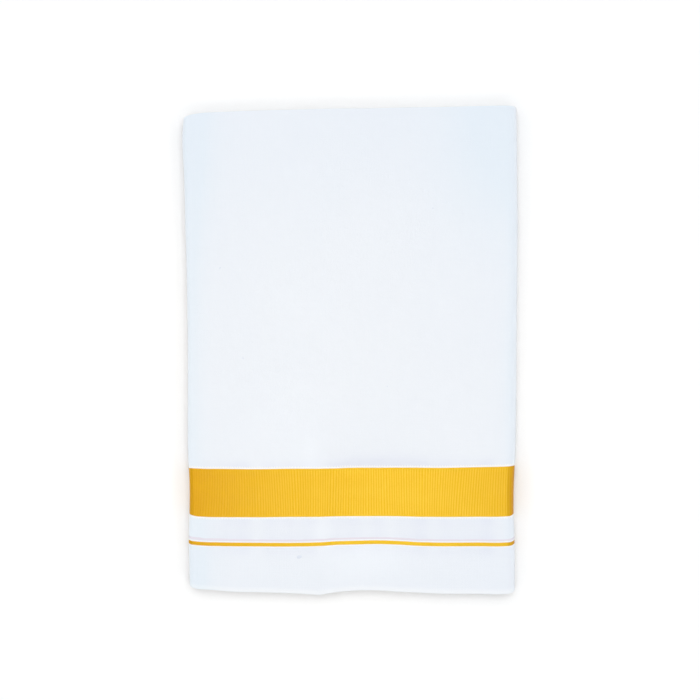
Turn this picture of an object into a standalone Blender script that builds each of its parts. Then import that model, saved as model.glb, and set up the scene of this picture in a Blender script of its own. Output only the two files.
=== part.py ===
"""Folded dhoti: one woven length, folded in three across its width and then halved four times.

The pack lies flat with its underside on z = 0 and its middle over the origin.
+X runs from the turned end to the spine, +Y runs from the open selvage edge to the folded edge.
The outermost strip is a wall that wraps the pack: it starts inside the turned end, rounds the upper
nose, crosses the top, rounds the spine, crosses the underside and curls round the lower nose. It is
split where the weave changes: field, gold band, gap, gold line and margin. All strips inside it share
one solid, ridged strip by strip along its front and back edges.
"""

import math

import bmesh
import bpy
import numpy as np

MM = 0.001

# Driving dimensions, in metres
CLOTH_LENGTH = 4.500
CLOTH_WIDTH = 1.250
WIDTH_PLIES = 3
LENGTH_HALVINGS = 4
PACK_HEIGHT = 0.020
WALL = 0.0011                     # the three plies of the outermost strip, pressed together
CLEARANCE = 0.0003                # between neighbouring solids
SEAM = 0.0003                     # between neighbouring woven zones

STRIPS = 2 ** LENGTH_HALVINGS
PACK_WIDTH = CLOTH_LENGTH / STRIPS
PACK_DEPTH = CLOTH_WIDTH / WIDTH_PLIES
HALF_WIDTH = PACK_WIDTH / 2
HALF_DEPTH = PACK_DEPTH / 2
MID_HEIGHT = PACK_HEIGHT / 2

# Woven lines, measured from the selvage at the front edge
LINE_CENTRE = 0.0412
LINE_WIDTH = 0.0032
BAND_START = 0.0648
BAND_WIDTH = 0.0421

# Folds at the two ends of the pack
SPINE_REACH = 0.0085              # how far the spine's round reaches along X
NOSE_REACH = 0.0046               # the same for the upper nose
CURL_REACH = 0.0024               # the same for the lower nose
CURL_INSET = 0.0012               # the lower nose stands back from the upper one
FREE_END_INSET = 0.0006           # so do the loose ends between them
RETURN_RUN = 0.0030               # how far the strip runs on inside, past a nose
SLIT = 0.0003                     # between the upper and the lower half of the pack

# How the key lines wander from straight, in millimetres, from the turned end to the spine.
# share: place across the pack. front: selvage edge. line, band_low, band_high: woven lines. back: fold.
KEY_LINES = (
    # share, front, line, band_low, band_high, back
    (0.00, 5.9, 1.6, 2.4, -0.6, -7.6),
    (0.02, 3.9, 1.1, 1.1, -0.9, -5.1),
    (0.05, 3.1, 0.5, 0.5, -1.0, -3.7),
    (0.10, 1.3, 0.0, 0.0, -1.0, -2.8),
    (0.20, 0.3, -0.3, -0.1, -1.0, -1.6),
    (0.33, -1.3, -0.3, -0.1, -0.8, -0.5),
    (0.40, -2.8, 0.5, 0.0, -0.6, 0.1),
    (0.45, 1.1, 1.1, 0.4, -0.3, 0.4),
    (0.50, 2.4, 1.5, 0.7, -0.1, 0.6),
    (0.57, 2.0, 1.9, 0.8, 0.1, 0.8),
    (0.65, 0.6, 1.4, 0.4, 0.3, 1.2),
    (0.76, -0.9, 0.1, 0.1, 0.5, 1.6),
    (0.88, -1.4, -0.2, 0.1, 0.7, 2.4),
    (0.97, -1.1, 0.0, 0.5, 1.2, 2.9),
    (1.00, 0.9, 1.3, 2.8, 1.4, 2.0),
)

# How the two ends wander, in millimetres: along: place from the front edge to the back edge.
END_LINES = (
    # along, left, right
    (0.00, 1.6, 1.5),
    (0.08, 1.5, 1.7),
    (0.17, 1.2, 1.0),
    (0.29, 0.5, 2.1),
    (0.42, 0.6, 2.8),
    (0.52, 0.4, 3.0),
    (0.60, -0.3, 3.3),
    (0.70, -1.8, 3.9),
    (0.77, -2.7, 4.3),
    (0.87, -3.7, 4.5),
    (0.94, -4.8, 4.3),
    (1.00, -3.4, 3.9),
)

# Soft swells and hollows of the top, in metres: a long bump or trough of a given height at (x, y),
# reach: its half width across its own axis, run: its half length, turn: its axis from +Y, in degrees.
TOP_FORMS = (
    # x, y, height, reach, run, turn
    (-0.026, -0.150, 0.0009, 0.012, 0.075, 3.0),
    (-0.008, -0.140, -0.0007, 0.012, 0.070, 3.0),
    (0.022, -0.094, -0.0010, 0.040, 0.011, 0.0),
    (0.040, -0.205, -0.0006, 0.045, 0.020, 0.0),
    (-0.070, -0.030, 0.0005, 0.050, 0.110, -8.0),
    (0.080, 0.090, 0.0004, 0.055, 0.100, 12.0),
    (0.015, 0.130, -0.0004, 0.030, 0.080, -20.0),
)
EDGE_SINK = 0.0008                # the top ply settles by this much along its front and back edges
EDGE_SINK_RUN = 0.012             # over about this run

# Strips 2 to 8 from the outside in: how far each stands back from the pack's edges, in millimetres.
STRIP_EDGES = (
    # front, back
    (0.5, 0.6),
    (1.3, 0.2),
    (0.8, 1.2),
    (1.8, 0.5),
    (0.7, 1.5),
    (1.5, 0.4),
    (1.0, 0.9),
)
GROOVE_DEPTH = 0.0012             # between one strip's edge and the next
RIDGE_SHOULDER = 0.22             # share of a strip's thickness at which its edge turns in

COLOURS = {
    "white_cotton": (0.84, 0.88, 0.93, 1.0),
    "gold_border": (0.85, 0.52, 0.04, 1.0),
    "inner_cotton": (0.78, 0.81, 0.85, 1.0),
}


# Columns of the two tables of lines
FRONT, LINE, BAND_LOW, BAND_HIGH, BACK = 1, 2, 3, 4, 5
LEFT, RIGHT = 1, 2


def clear_scene():
    """Remove every object of the scene."""
    for old in list(bpy.data.objects):
        bpy.data.objects.remove(old, do_unlink=True)


def cloth_material(name, roughness):
    """A matt cloth surface."""
    material = bpy.data.materials.new(name)
    material.use_nodes = True
    shader = material.node_tree.nodes["Principled BSDF"]
    shader.inputs["Base Color"].default_value = COLOURS[name]
    shader.inputs["Roughness"].default_value = roughness
    shader.inputs["Metallic"].default_value = 0.0
    return material


def smooth_column(table, column, at):
    """Read one column of a table at the places of its first column, joined by smooth cubic pieces."""
    places = np.array([row[0] for row in table])
    values = np.array([row[column] for row in table])
    slopes = np.gradient(values, places)
    at = np.clip(at, places[0], places[-1])
    cell = np.clip(np.searchsorted(places, at, side="right") - 1, 0, len(places) - 2)
    step = places[cell + 1] - places[cell]
    t = (at - places[cell]) / step
    rise = t * t * (3 - 2 * t)
    return (values[cell] * (1 - rise) + values[cell + 1] * rise
            + slopes[cell] * step * t * (1 - t) ** 2
            - slopes[cell + 1] * step * t * t * (1 - t))


def key_line(column, share):
    """Y of one of the key lines at a share across the pack."""
    straight = {
        FRONT: -HALF_DEPTH,
        LINE: -HALF_DEPTH + LINE_CENTRE,
        BAND_LOW: -HALF_DEPTH + BAND_START,
        BAND_HIGH: -HALF_DEPTH + BAND_START + BAND_WIDTH,
        BACK: HALF_DEPTH,
    }[column]
    return straight + smooth_column(KEY_LINES, column, share) * MM


def end_line(column, y):
    """X of the turned end (LEFT) or of the spine (RIGHT) at a given y."""
    along = (y + HALF_DEPTH) / PACK_DEPTH
    side = -HALF_WIDTH if column == LEFT else HALF_WIDTH
    return side + smooth_column(END_LINES, column, along) * MM


def top_height(x, y):
    """Height of the top: level, plus long soft bumps and troughs, less the sink along its two edges."""
    z = np.full(np.broadcast(x, y).shape, PACK_HEIGHT - 0.0006)
    for form_x, form_y, height, reach, run, turn in TOP_FORMS:
        angle = math.radians(turn)
        across = (x - form_x) * math.cos(angle) + (y - form_y) * math.sin(angle)
        along = (y - form_y) * math.cos(angle) - (x - form_x) * math.sin(angle)
        z = z + height * np.exp(-(across / reach) ** 2 - (along / run) ** 2)
    for edge in (-HALF_DEPTH, HALF_DEPTH):
        z = z - EDGE_SINK * np.exp(-((y - edge) / EDGE_SINK_RUN) ** 2)
    return z


# The wrapping strip, as stations along its path: (stretch, place within the stretch)
NOSE_TURNS = 7
TOP_SHARES = (0.0, 0.05, 0.12, 0.20, 0.28, 0.34, 0.375, 0.405, 0.44, 0.50, 0.58, 0.67, 0.77, 0.88, 1.0)
SPINE_TURNS = 10
BASE_SHARES = (1.0, 0.86, 0.70, 0.54, 0.40, 0.26, 0.12, 0.0)
CURL_TURNS = 5


def half_turn(stretch, count):
    """Stations of a half turn, without its two ends."""
    return [(stretch, math.pi * step / count) for step in range(1, count)]


PATH = (
    [("nose_return", 0.0), ("nose", 0.0)]
    + half_turn("nose", NOSE_TURNS)
    + [("top", share) for share in TOP_SHARES]
    + half_turn("spine", SPINE_TURNS)
    + [("base", share) for share in BASE_SHARES]
    + half_turn("curl", CURL_TURNS)
    + [("curl", math.pi), ("curl_return", 0.0)]
)

# Rows of points from the front to the back, as shares of each zone. The wider field has more of them.
ZONE_ROWS = {
    "margin_cloth": (0.0, 0.33, 0.67, 1.0),
    "gold_line": (0.0, 1.0),
    "gap_cloth": (0.0, 0.5, 1.0),
    "gold_band": (0.0, 0.33, 0.67, 1.0),
    "field_cloth": (0.0, 0.03, 0.07, 0.13, 0.21, 0.31, 0.43, 0.56, 0.69, 0.81, 0.91, 0.97, 1.0),
}

# Heights of the two noses and of the strips inside
OUTER_DEPTH = WALL + CLEARANCE
NOSE_LOW = MID_HEIGHT + SLIT / 2
INNER_STRIPS = len(STRIP_EDGES)
STRIP_STEP = (MID_HEIGHT - SLIT / 2 - OUTER_DEPTH) / INNER_STRIPS
STRIPS_IN_CURL = 2                # strips 15 and 14 lie in the lower nose, strip 13 is its return
SLOT_LOW = STRIPS_IN_CURL - RIDGE_SHOULDER
SLOT_HIGH = STRIPS_IN_CURL + 1 + RIDGE_SHOULDER
CURL_HIGH = OUTER_DEPTH + SLOT_HIGH * STRIP_STEP - CLEARANCE


def round_end(centre_x, reach, low, high, turn, depth):
    """A point of a half ellipse between two heights, a given turn up from its lowest, moved in by depth."""
    middle = (low + high) / 2
    rise = (high - low) / 2
    x = centre_x + (reach - math.copysign(depth, reach)) * math.sin(turn)
    z = middle - (rise - depth) * math.cos(turn)
    return x, z


def wrap_point(station, y, depth):
    """X and z of the wrapping strip at a station of its path and a y, moved inwards by depth."""
    stretch, place = station
    left = end_line(LEFT, y)
    nose_x = left + NOSE_REACH
    curl_x = left + CURL_INSET + CURL_REACH
    spine_x = end_line(RIGHT, y) - SPINE_REACH
    level = np.zeros(np.shape(y))
    if stretch == "nose_return":
        return nose_x + RETURN_RUN, level + NOSE_LOW + depth
    if stretch == "nose":
        return round_end(nose_x, -NOSE_REACH, NOSE_LOW, top_height(nose_x, y), place, depth)
    if stretch == "top":
        x = nose_x + (spine_x - nose_x) * place
        return x, top_height(x, y) - depth
    if stretch == "spine":
        return round_end(spine_x, SPINE_REACH, 0.0, top_height(spine_x, y), math.pi - place, depth)
    if stretch == "base":
        return curl_x + (spine_x - curl_x) * place, level + depth
    if stretch == "curl":
        return round_end(curl_x, -CURL_REACH, level, CURL_HIGH, place, depth)
    return curl_x + RETURN_RUN, level + CURL_HIGH - depth


def share_across(station):
    """Share across the pack at which a station of the path lies."""
    middle = np.array(0.0)
    x, _ = wrap_point(station, middle, 0.0)
    left = end_line(LEFT, middle)
    return (x - left) / (end_line(RIGHT, middle) - left)


def zone_edges(zone, share):
    """Y of the front and the back edge of a woven zone, with half a seam left free at each woven line."""
    line_low = key_line(LINE, share) - LINE_WIDTH / 2
    line_high = key_line(LINE, share) + LINE_WIDTH / 2
    band_low = key_line(BAND_LOW, share)
    band_high = key_line(BAND_HIGH, share)
    half_seam = SEAM / 2
    return {
        "margin_cloth": (key_line(FRONT, share), line_low - half_seam),
        "gold_line": (line_low + half_seam, line_high - half_seam),
        "gap_cloth": (line_high + half_seam, band_low - half_seam),
        "gold_band": (band_low + half_seam, band_high - half_seam),
        "field_cloth": (band_high + half_seam, key_line(BACK, share)),
    }[zone]


def zone_rows(zone, share):
    """Y of each row of a woven zone at a share across the pack."""
    low, high = zone_edges(zone, share)
    return low + (high - low) * np.array(ZONE_ROWS[zone])


def lattice_body(name, points, material):
    """Close the outer faces of a lattice of points [i, j, k] into one solid object."""
    inside = np.zeros(points.shape[:3], dtype=bool)
    inside[1:-1, 1:-1, 1:-1] = True
    number = np.full(points.shape[:3], -1)
    number[~inside] = np.arange(np.count_nonzero(~inside))
    faces = []
    for side in (number[0], number[-1], number[:, 0], number[:, -1], number[:, :, 0], number[:, :, -1]):
        corners = np.stack((side[:-1, :-1], side[1:, :-1], side[1:, 1:], side[:-1, 1:]), axis=-1)
        faces.extend(corners.reshape(-1, 4).tolist())
    shape = bmesh.new()
    corners = [shape.verts.new(point) for point in points[~inside].tolist()]
    for face in faces:
        shape.faces.new([corners[corner] for corner in face])
    bmesh.ops.recalc_face_normals(shape, faces=shape.faces)
    bmesh.ops.triangulate(shape, faces=shape.faces)
    mesh = bpy.data.meshes.new(name)
    shape.to_mesh(mesh)
    shape.free()
    mesh.materials.append(material)
    mesh.shade_smooth()
    mesh.set_sharp_from_angle(angle=math.radians(40))
    body = bpy.data.objects.new(name, mesh)
    bpy.context.scene.collection.objects.link(body)
    return body


def woven_zone(zone, material):
    """One zone of the wrapping strip: a wall of even thickness along its whole path."""
    points = np.zeros((len(PATH), len(ZONE_ROWS[zone]), 2, 3))
    for i, station in enumerate(PATH):
        y = zone_rows(zone, share_across(station))
        for k, depth in enumerate((0.0, WALL)):
            x, z = wrap_point(station, y, depth)
            points[i, :, k] = np.stack((x, y, z), axis=-1)
    return lattice_body(zone, points, material)


def strip_levels():
    """Levels counted in strips from the wall to mid height: a groove and two shoulders for each strip."""
    levels = [strip + part for strip in range(INNER_STRIPS)
              for part in (0.0, RIDGE_SHOULDER, 1 - RIDGE_SHOULDER)]
    return np.array(levels + [INNER_STRIPS])


LEVELS = strip_levels()
LEVEL_SHARES = LEVELS / INNER_STRIPS


def level_setback(column):
    """How far each level stands back from an edge of the pack: its strip's own setback and its groove."""
    strip = np.minimum(LEVELS.astype(int), INNER_STRIPS - 1)
    setback = np.array([row[column] for row in STRIP_EDGES])[strip] * MM
    return setback + GROOVE_DEPTH * (LEVELS == np.round(LEVELS))


def layer_rows(share):
    """Y of the inner strips' points [row, level], on the rows of the zones over them."""
    between = np.concatenate((
        zone_rows("margin_cloth", share)[1:-1],
        [key_line(LINE, share)],
        zone_rows("gap_cloth", share)[1:-1],
        zone_rows("gold_band", share),
        zone_rows("field_cloth", share)[1:-1],
    ))
    front = key_line(FRONT, share) + CLEARANCE + level_setback(0)
    back = key_line(BACK, share) - CLEARANCE - level_setback(1)
    level_rows = np.repeat(between[:, None], len(LEVELS), axis=1)
    return np.vstack((front, level_rows, back))


def book_ring(station):
    """One ring of the inner strips, between the wall and the slit at mid height."""
    stretch, place = station
    y = layer_rows(share_across(station))
    x_out, z_out = wrap_point(station, y, OUTER_DEPTH)
    x_in = x_out
    z_in = MID_HEIGHT + SLIT / 2 * (1 if stretch == "top" else -1)
    if stretch == "spine":
        x_in = end_line(RIGHT, y) - SPINE_REACH + SLIT / 2 * math.sin(place)
        z_in = MID_HEIGHT + SLIT / 2 * math.cos(place)
    x = x_out + (x_in - x_out) * LEVEL_SHARES
    z = z_out + (z_in - z_out) * LEVEL_SHARES
    return np.stack((x, y, z), axis=-1)


def nose_ring(run, floor):
    """One ring of the upper half near its nose, a run inwards of the nose's centre, over a given floor."""
    y = layer_rows(0.0)
    nose_x = end_line(LEFT, y) + NOSE_REACH
    roof = top_height(nose_x + run, y) - OUTER_DEPTH
    z = roof + (floor - roof) * LEVEL_SHARES
    return np.stack((nose_x + run, y, z), axis=-1)


def nose_cap():
    """The rounded end of the upper half, a half ellipse just inside the upper nose."""
    ring = nose_ring(0.0, NOSE_LOW + OUTER_DEPTH)
    bulge = np.sqrt(1 - (2 * LEVEL_SHARES - 1) ** 2)
    ring[:, :, 0] -= (NOSE_REACH - OUTER_DEPTH) * bulge
    return ring


def curl_ring(run):
    """One ring of the lower half, a run inwards of the lower nose's centre."""
    y = layer_rows(0.0)
    curl_x = end_line(LEFT, y) + CURL_INSET + CURL_REACH
    z = OUTER_DEPTH + (MID_HEIGHT - SLIT / 2 - OUTER_DEPTH) * LEVEL_SHARES
    return np.stack((curl_x + run, y, np.broadcast_to(z, y.shape)), axis=-1)


def curl_cap():
    """The end of the lower half: a round in the lower nose, a slot for its return, then the loose ends."""
    ring = curl_ring(0.0)
    left = end_line(LEFT, ring[:, :, 1])
    in_curl = LEVELS <= SLOT_LOW
    in_slot = (LEVELS > SLOT_LOW) & (LEVELS < SLOT_HIGH)
    loose = LEVELS >= SLOT_HIGH
    bulge = np.sqrt(np.clip(1 - (2 * LEVELS / SLOT_LOW - 1) ** 2, 0.0, 1.0))
    ring[:, in_curl, 0] -= (CURL_REACH - OUTER_DEPTH) * bulge[in_curl]
    ring[:, in_slot, 0] += RETURN_RUN + CLEARANCE
    ring[:, loose, 0] = left[:, loose] + FREE_END_INSET + level_setback(1)[loose]
    slot_floor = CURL_HIGH - OUTER_DEPTH
    heights = (
        # level, height
        (0.0, OUTER_DEPTH),
        (SLOT_LOW, slot_floor),
        (STRIPS_IN_CURL, slot_floor + 0.1 * CLEARANCE),
        (STRIPS_IN_CURL + 1, CURL_HIGH + 0.9 * CLEARANCE),
        (SLOT_HIGH, CURL_HIGH + CLEARANCE),
        (INNER_STRIPS, MID_HEIGHT - SLIT / 2),
    )
    ring[:, :, 2] = np.interp(LEVELS, [row[0] for row in heights], [row[1] for row in heights])
    return ring


def folded_layers(material):
    """The strips inside the wrapping strip, bent once round the spine like the leaves of a book."""
    nose_floor = NOSE_LOW + OUTER_DEPTH
    past_return = RETURN_RUN + CLEARANCE
    rings = [nose_cap(), nose_ring(past_return / 2, nose_floor), nose_ring(past_return, nose_floor)]
    rings.append(nose_ring(past_return + CLEARANCE, NOSE_LOW))
    rings += [book_ring(station) for station in PATH
              if station[0] in ("top", "spine", "base") and station[1:] != (0.0,)]
    rings.append(curl_ring(past_return + CLEARANCE))
    rings.append(curl_cap())
    return lattice_body("folded_layers", np.array(rings), material)


def main():
    """Build every sub-part."""
    clear_scene()
    cotton = cloth_material("white_cotton", 0.85)
    gold = cloth_material("gold_border", 0.45)
    for zone in ZONE_ROWS:
        woven_zone(zone, gold if zone.startswith("gold") else cotton)
    folded_layers(cloth_material("inner_cotton", 0.9))


if __name__ == "__main__":
    main()
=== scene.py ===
"""Folded dhoti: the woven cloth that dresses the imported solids, on a plain pale stage.

The cloth is folded in three across its width, which gives a ribbon of three plies, and the ribbon is
halved four times, which gives a pack of sixteen strips. One map draws every piece: a place on the
ribbon's folded path, a y across the pack and a share of the strip's thickness give a point in space.
The outermost ply is drawn zone by zone as it is woven: margin, gold line, gap, gold border and field.
The plies inside it are drawn as one ribbon that follows the whole fold from end to end.
"""

import math

import bpy
import numpy as np
from bpy.props import FloatProperty, FloatVectorProperty, IntProperty, PointerProperty
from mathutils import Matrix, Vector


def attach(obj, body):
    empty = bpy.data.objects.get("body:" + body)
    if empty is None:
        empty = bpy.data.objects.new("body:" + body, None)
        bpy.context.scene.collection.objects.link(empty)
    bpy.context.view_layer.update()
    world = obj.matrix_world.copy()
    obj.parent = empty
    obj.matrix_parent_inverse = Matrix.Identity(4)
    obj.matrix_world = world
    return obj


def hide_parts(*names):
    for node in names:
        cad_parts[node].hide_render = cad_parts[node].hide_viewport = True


bl_info = {
    "name": "Folded Dhoti",
    "version": (1, 0, 0),
    "blender": (4, 5, 0),
    "location": "3D View > Sidebar > Dhoti",
    "description": "Woven pieces of a folded dhoti: field, borders, cords and inner folds",
    "category": "Mesh",
}

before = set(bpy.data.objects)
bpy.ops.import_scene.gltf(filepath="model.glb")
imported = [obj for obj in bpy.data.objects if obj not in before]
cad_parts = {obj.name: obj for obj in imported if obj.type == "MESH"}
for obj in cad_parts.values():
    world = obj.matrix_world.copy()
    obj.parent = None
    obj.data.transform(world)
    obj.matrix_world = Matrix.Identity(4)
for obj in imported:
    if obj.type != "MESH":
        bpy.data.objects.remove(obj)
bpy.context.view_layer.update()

BODY = "root"
MM = 0.001

# ---------------------------------------------------------------- the folded pack

CLOTH_LENGTH = 4.500
CLOTH_WIDTH = 1.250
WIDTH_PLIES = 3
STRIPS = 16
PACK_HEIGHT = 0.020
HALF_WIDTH = CLOTH_LENGTH / STRIPS / 2
PACK_DEPTH = CLOTH_WIDTH / WIDTH_PLIES
HALF_DEPTH = PACK_DEPTH / 2

# Woven lines, measured from the selvage at the front edge
LINE_CENTRE = 0.0412
LINE_WIDTH = 0.0032
BAND_START = 0.0648
BAND_WIDTH = 0.0421

SPINE_REACH = 0.0085              # how far the spine's round reaches along X
RETURN_RUN = 0.0030               # how far the outer ply runs on inside, past a nose
GAP_SHARE = 0.03                  # share of a strip's level left free on each side of it
SEAT_LIFT = 0.0002                # the cloth's ground weave stands this much off the surface it lies on
TOP_SETTLE = 0.0006               # the top's level ground lies this much under the pack's height

# The order in which the ribbon passes through the strips, which are counted from the top
STRIP_ORDER = np.array((12, 5, 4, 13, 16, 1, 8, 9, 10, 7, 2, 15, 14, 3, 6, 11))

# The parts of its path that lie on the outside: even parts are runs across the pack, odd ones turns
LOWER_NOSE, UNDERSIDE, SPINE, TOP, UPPER_NOSE = range(7, 12)

# How the strips end at the left: the upper nose, the tucked fold, two loose ends and the lower nose
LEFT_ENDS = (
    # first strip, last strip, inset from the end line, reach of the round along X
    (1, 8, 0.0000, 0.0046),
    (9, 10, 0.0011, 0.0012),
    (11, 11, 0.0013, 0.0),
    (12, 12, 0.0021, 0.0),
    (13, 16, 0.0012, 0.0024),
)

# How the key lines wander from straight, in millimetres, from the turned end to the spine.
# share: place across the pack. front: selvage edge. line, band_low, band_high: woven lines. back: fold.
KEY_LINES = (
    # share, front, line, band_low, band_high, back
    (0.00, 4.7, 1.7, 2.2, -0.6, -7.4),
    (0.008, 3.5, 1.1, 1.2, -0.4, -6.5),
    (0.02, 2.4, 0.65, 0.35, -0.55, -5.3),
    (0.05, 1.6, 0.0, -0.35, -0.95, -3.7),
    (0.10, 0.5, -0.35, -0.6, -1.0, -2.8),
    (0.14, -0.4, -0.5, -0.65, -1.15, -2.3),
    (0.20, -0.7, -0.6, -0.7, -1.3, -1.6),
    (0.33, -1.9, -0.7, -0.35, -0.9, -0.6),
    (0.375, -2.6, -0.45, -0.3, -0.9, -0.3),
    (0.397, -2.95, -0.2, -0.25, -0.9, 0.0),
    (0.412, -2.3, -0.05, -0.15, -0.85, 0.1),
    (0.45, -0.8, 0.6, 0.05, -0.7, 0.3),
    (0.48, 0.1, 0.8, 0.1, -0.4, 0.4),
    (0.51, 0.7, 1.0, 0.2, -0.2, 0.4),
    (0.57, 0.7, 1.4, 0.3, -0.25, 0.6),
    (0.65, -0.5, 0.75, 0.15, -0.1, 1.2),
    (0.70, -1.1, -0.1, -0.25, -0.1, 1.4),
    (0.76, -1.9, -0.5, -0.4, -0.2, 1.6),
    (0.88, -2.1, -0.45, -0.3, 0.45, 2.4),
    (0.97, -2.2, -0.4, 0.0, 1.05, 2.8),
    (0.988, -1.7, 0.0, 0.4, 1.3, 2.6),
    (1.00, -0.3, 1.1, 1.8, 1.6, 2.0),
)
FRONT, LINE, BAND_LOW, BAND_HIGH, BACK = 1, 2, 3, 4, 5

# How the two ends wander, in millimetres. along: share of the way from the front edge to the back edge.
END_LINES = (
    # along, left, right
    (0.00, 1.5, 2.4),
    (0.065, 0.9, 2.4),
    (0.12, 0.6, 2.1),
    (0.165, 1.3, 1.4),
    (0.24, 1.0, 2.0),
    (0.275, 0.0, 2.8),
    (0.355, -0.4, 3.5),
    (0.42, -0.3, 3.8),
    (0.52, -0.4, 4.0),
    (0.60, -0.8, 4.3),
    (0.65, -1.2, 4.7),
    (0.70, -1.7, 4.7),
    (0.77, -2.6, 5.0),
    (0.82, -3.0, 4.7),
    (0.87, -3.7, 4.5),
    (0.94, -5.0, 4.3),
    (1.00, -3.4, 3.9),
)
LEFT, RIGHT = 1, 2

# Soft swells and hollows, in metres: a long bump or trough of a given height at (x, y),
# reach: its half width across its own axis, run: its half length, turn: its axis from +Y, in degrees.
TOP_FORMS = (
    # x, y, height, reach, run, turn
    (-0.026, -0.150, 0.0009, 0.012, 0.075, 3.0),
    (-0.008, -0.140, -0.0007, 0.012, 0.070, 3.0),
    (0.022, -0.094, -0.0010, 0.040, 0.011, 0.0),
    (0.040, -0.205, -0.0006, 0.045, 0.020, 0.0),
    (-0.070, -0.030, 0.0005, 0.050, 0.110, -8.0),
    (0.080, 0.090, 0.0004, 0.055, 0.100, 12.0),
    (0.015, 0.130, -0.0004, 0.030, 0.080, -20.0),
)

# Creases too fine for the solids: the fold mark that runs down to the front edge, the hollow beside
# the gold border, and slack
TOP_CREASES = (
    # x, y, height, reach, run, turn
    (-0.0215, 0.030, -0.00016, 0.0030, 0.070, 0.6),
    (-0.0180, 0.034, 0.00013, 0.0040, 0.060, 0.6),
    (-0.0200, -0.075, -0.00022, 0.0034, 0.040, -1.5),
    (-0.0160, -0.185, -0.00030, 0.0040, 0.028, 2.0),
    (0.0460, -0.060, 0.00012, 0.0090, 0.022, 64.0),
    (0.0260, -0.1035, -0.00150, 0.0400, 0.0046, -1.0),
    (-0.0820, 0.104, -0.00010, 0.0050, 0.046, 9.0),
    (0.0930, 0.012, 0.00010, 0.0060, 0.052, -6.0),
    (0.1040, -0.040, -0.00009, 0.0050, 0.038, 4.0),
    (-0.1060, -0.060, 0.00012, 0.0060, 0.050, 3.0),
    (-0.0550, -0.196, -0.00016, 0.0080, 0.014, 38.0),
    (0.0820, -0.190, 0.00014, 0.0090, 0.018, -30.0),
)

# Shallow hollows on the underside, where the pack bridges the surface it lies on
BASE_HOLLOWS = (
    # x, y, height, reach, run, turn
    (-0.060, 0.100, 0.00035, 0.006, 0.070, 5.0),
    (0.030, 0.020, 0.00045, 0.007, 0.110, -3.0),
    (0.085, -0.080, 0.00030, 0.005, 0.060, 8.0),
    (-0.020, -0.120, 0.00040, 0.006, 0.050, -12.0),
    (0.060, 0.150, 0.00030, 0.020, 0.008, 20.0),
)

# Painted shade, cooler and darker, where the amount is above 0, and less of it where it is below 0: the
# amount at (x, y), spread as above. The sum with what follows is cut off at 0 and at 1.
COOL_SHADE_PATCHES = (
    # x, y, amount, reach, run, turn
    (-0.140, 0.200, 1.5, 0.020, 0.090, 0.0),
    (0.142, 0.200, 1.6, 0.055, 0.085, 0.0),
    (-0.140, -0.185, 1.15, 0.018, 0.050, 0.0),
    (0.146, -0.020, 0.5, 0.014, 0.050, 0.0),
    (0.145, -0.205, -1.1, 0.020, 0.032, 0.0),
)

# The painted shade also darkens the turned end (left) and the spine (right): amount, and reach from there
COOL_SHADE_LEFT = 1.15
COOL_SHADE_REACH_LEFT = 0.0125
COOL_SHADE_RIGHT = 0.95
COOL_SHADE_REACH_RIGHT = 0.0080

# Painted light on the round of both ends: the cotton is paler within this of the outline
LIGHT_REACH_LEFT = 0.0023
LIGHT_REACH_RIGHT = 0.0050

# Painted light: pools where the cotton is painted a little whiter, spread in the same way
LIGHT_POOLS = (
    # x, y, amount, reach, run, turn
    (-0.057, -0.062, 0.20, 0.036, 0.044, 0.0),
    (-0.034, -0.098, 0.36, 0.009, 0.020, 0.0),
    (-0.042, 0.035, 0.12, 0.030, 0.022, 0.0),
    (0.012, -0.181, 0.38, 0.038, 0.018, 0.0),
    (-0.026, -0.157, 0.30, 0.009, 0.010, 0.0),
)

# Painted shade, where the cotton looks greyer in the hollow above the gold border, apart from the stretches
# beside the gold
HOLLOW_SHADE_PATCHES = (
    # x, y, amount, reach, run, turn
    (0.0260, -0.1015, 1.0, 0.0440, 0.0105, 0.0),
)

# Painted shade on the cotton beside the gold: amount at the gold's edge, and reach from there
FIELD_SHADE = (0.70, 0.006)
GAP_SHADE = (0.50, 0.010)
MARGIN_SHADE = (0.42, 0.008)

EDGE_SINK = 0.0008                # the top ply settles by this much along its front and back edges
EDGE_SINK_RUN = 0.012             # over about this run

# How far the strips' edges stand back from the pack's, from the top strip down, in millimetres
STRIP_SETBACKS = (
    # fold at the front, selvage at the front, fold at the back, selvage at the back
    (0.5, 0.0, 0.0, 0.7),
    (0.9, 1.6, 0.8, 0.2),
    (1.5, 1.1, 0.3, 1.3),
    (0.8, 1.9, 1.3, 0.5),
    (1.9, 0.9, 0.6, 1.6),
    (0.9, 1.4, 1.6, 1.1),
    (1.6, 2.1, 0.5, 1.7),
    (1.1, 0.6, 1.2, 0.6),
    (1.7, 1.3, 0.9, 1.8),
    (0.9, 2.0, 1.7, 1.0),
    (1.4, 0.8, 0.4, 1.4),
    (1.9, 1.2, 1.4, 0.5),
    (0.8, 1.7, 0.9, 1.2),
    (1.5, 0.9, 1.6, 0.4),
    (1.0, 1.8, 0.5, 1.5),
    (0.6, 0.0, 0.0, 0.6),
)


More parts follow.
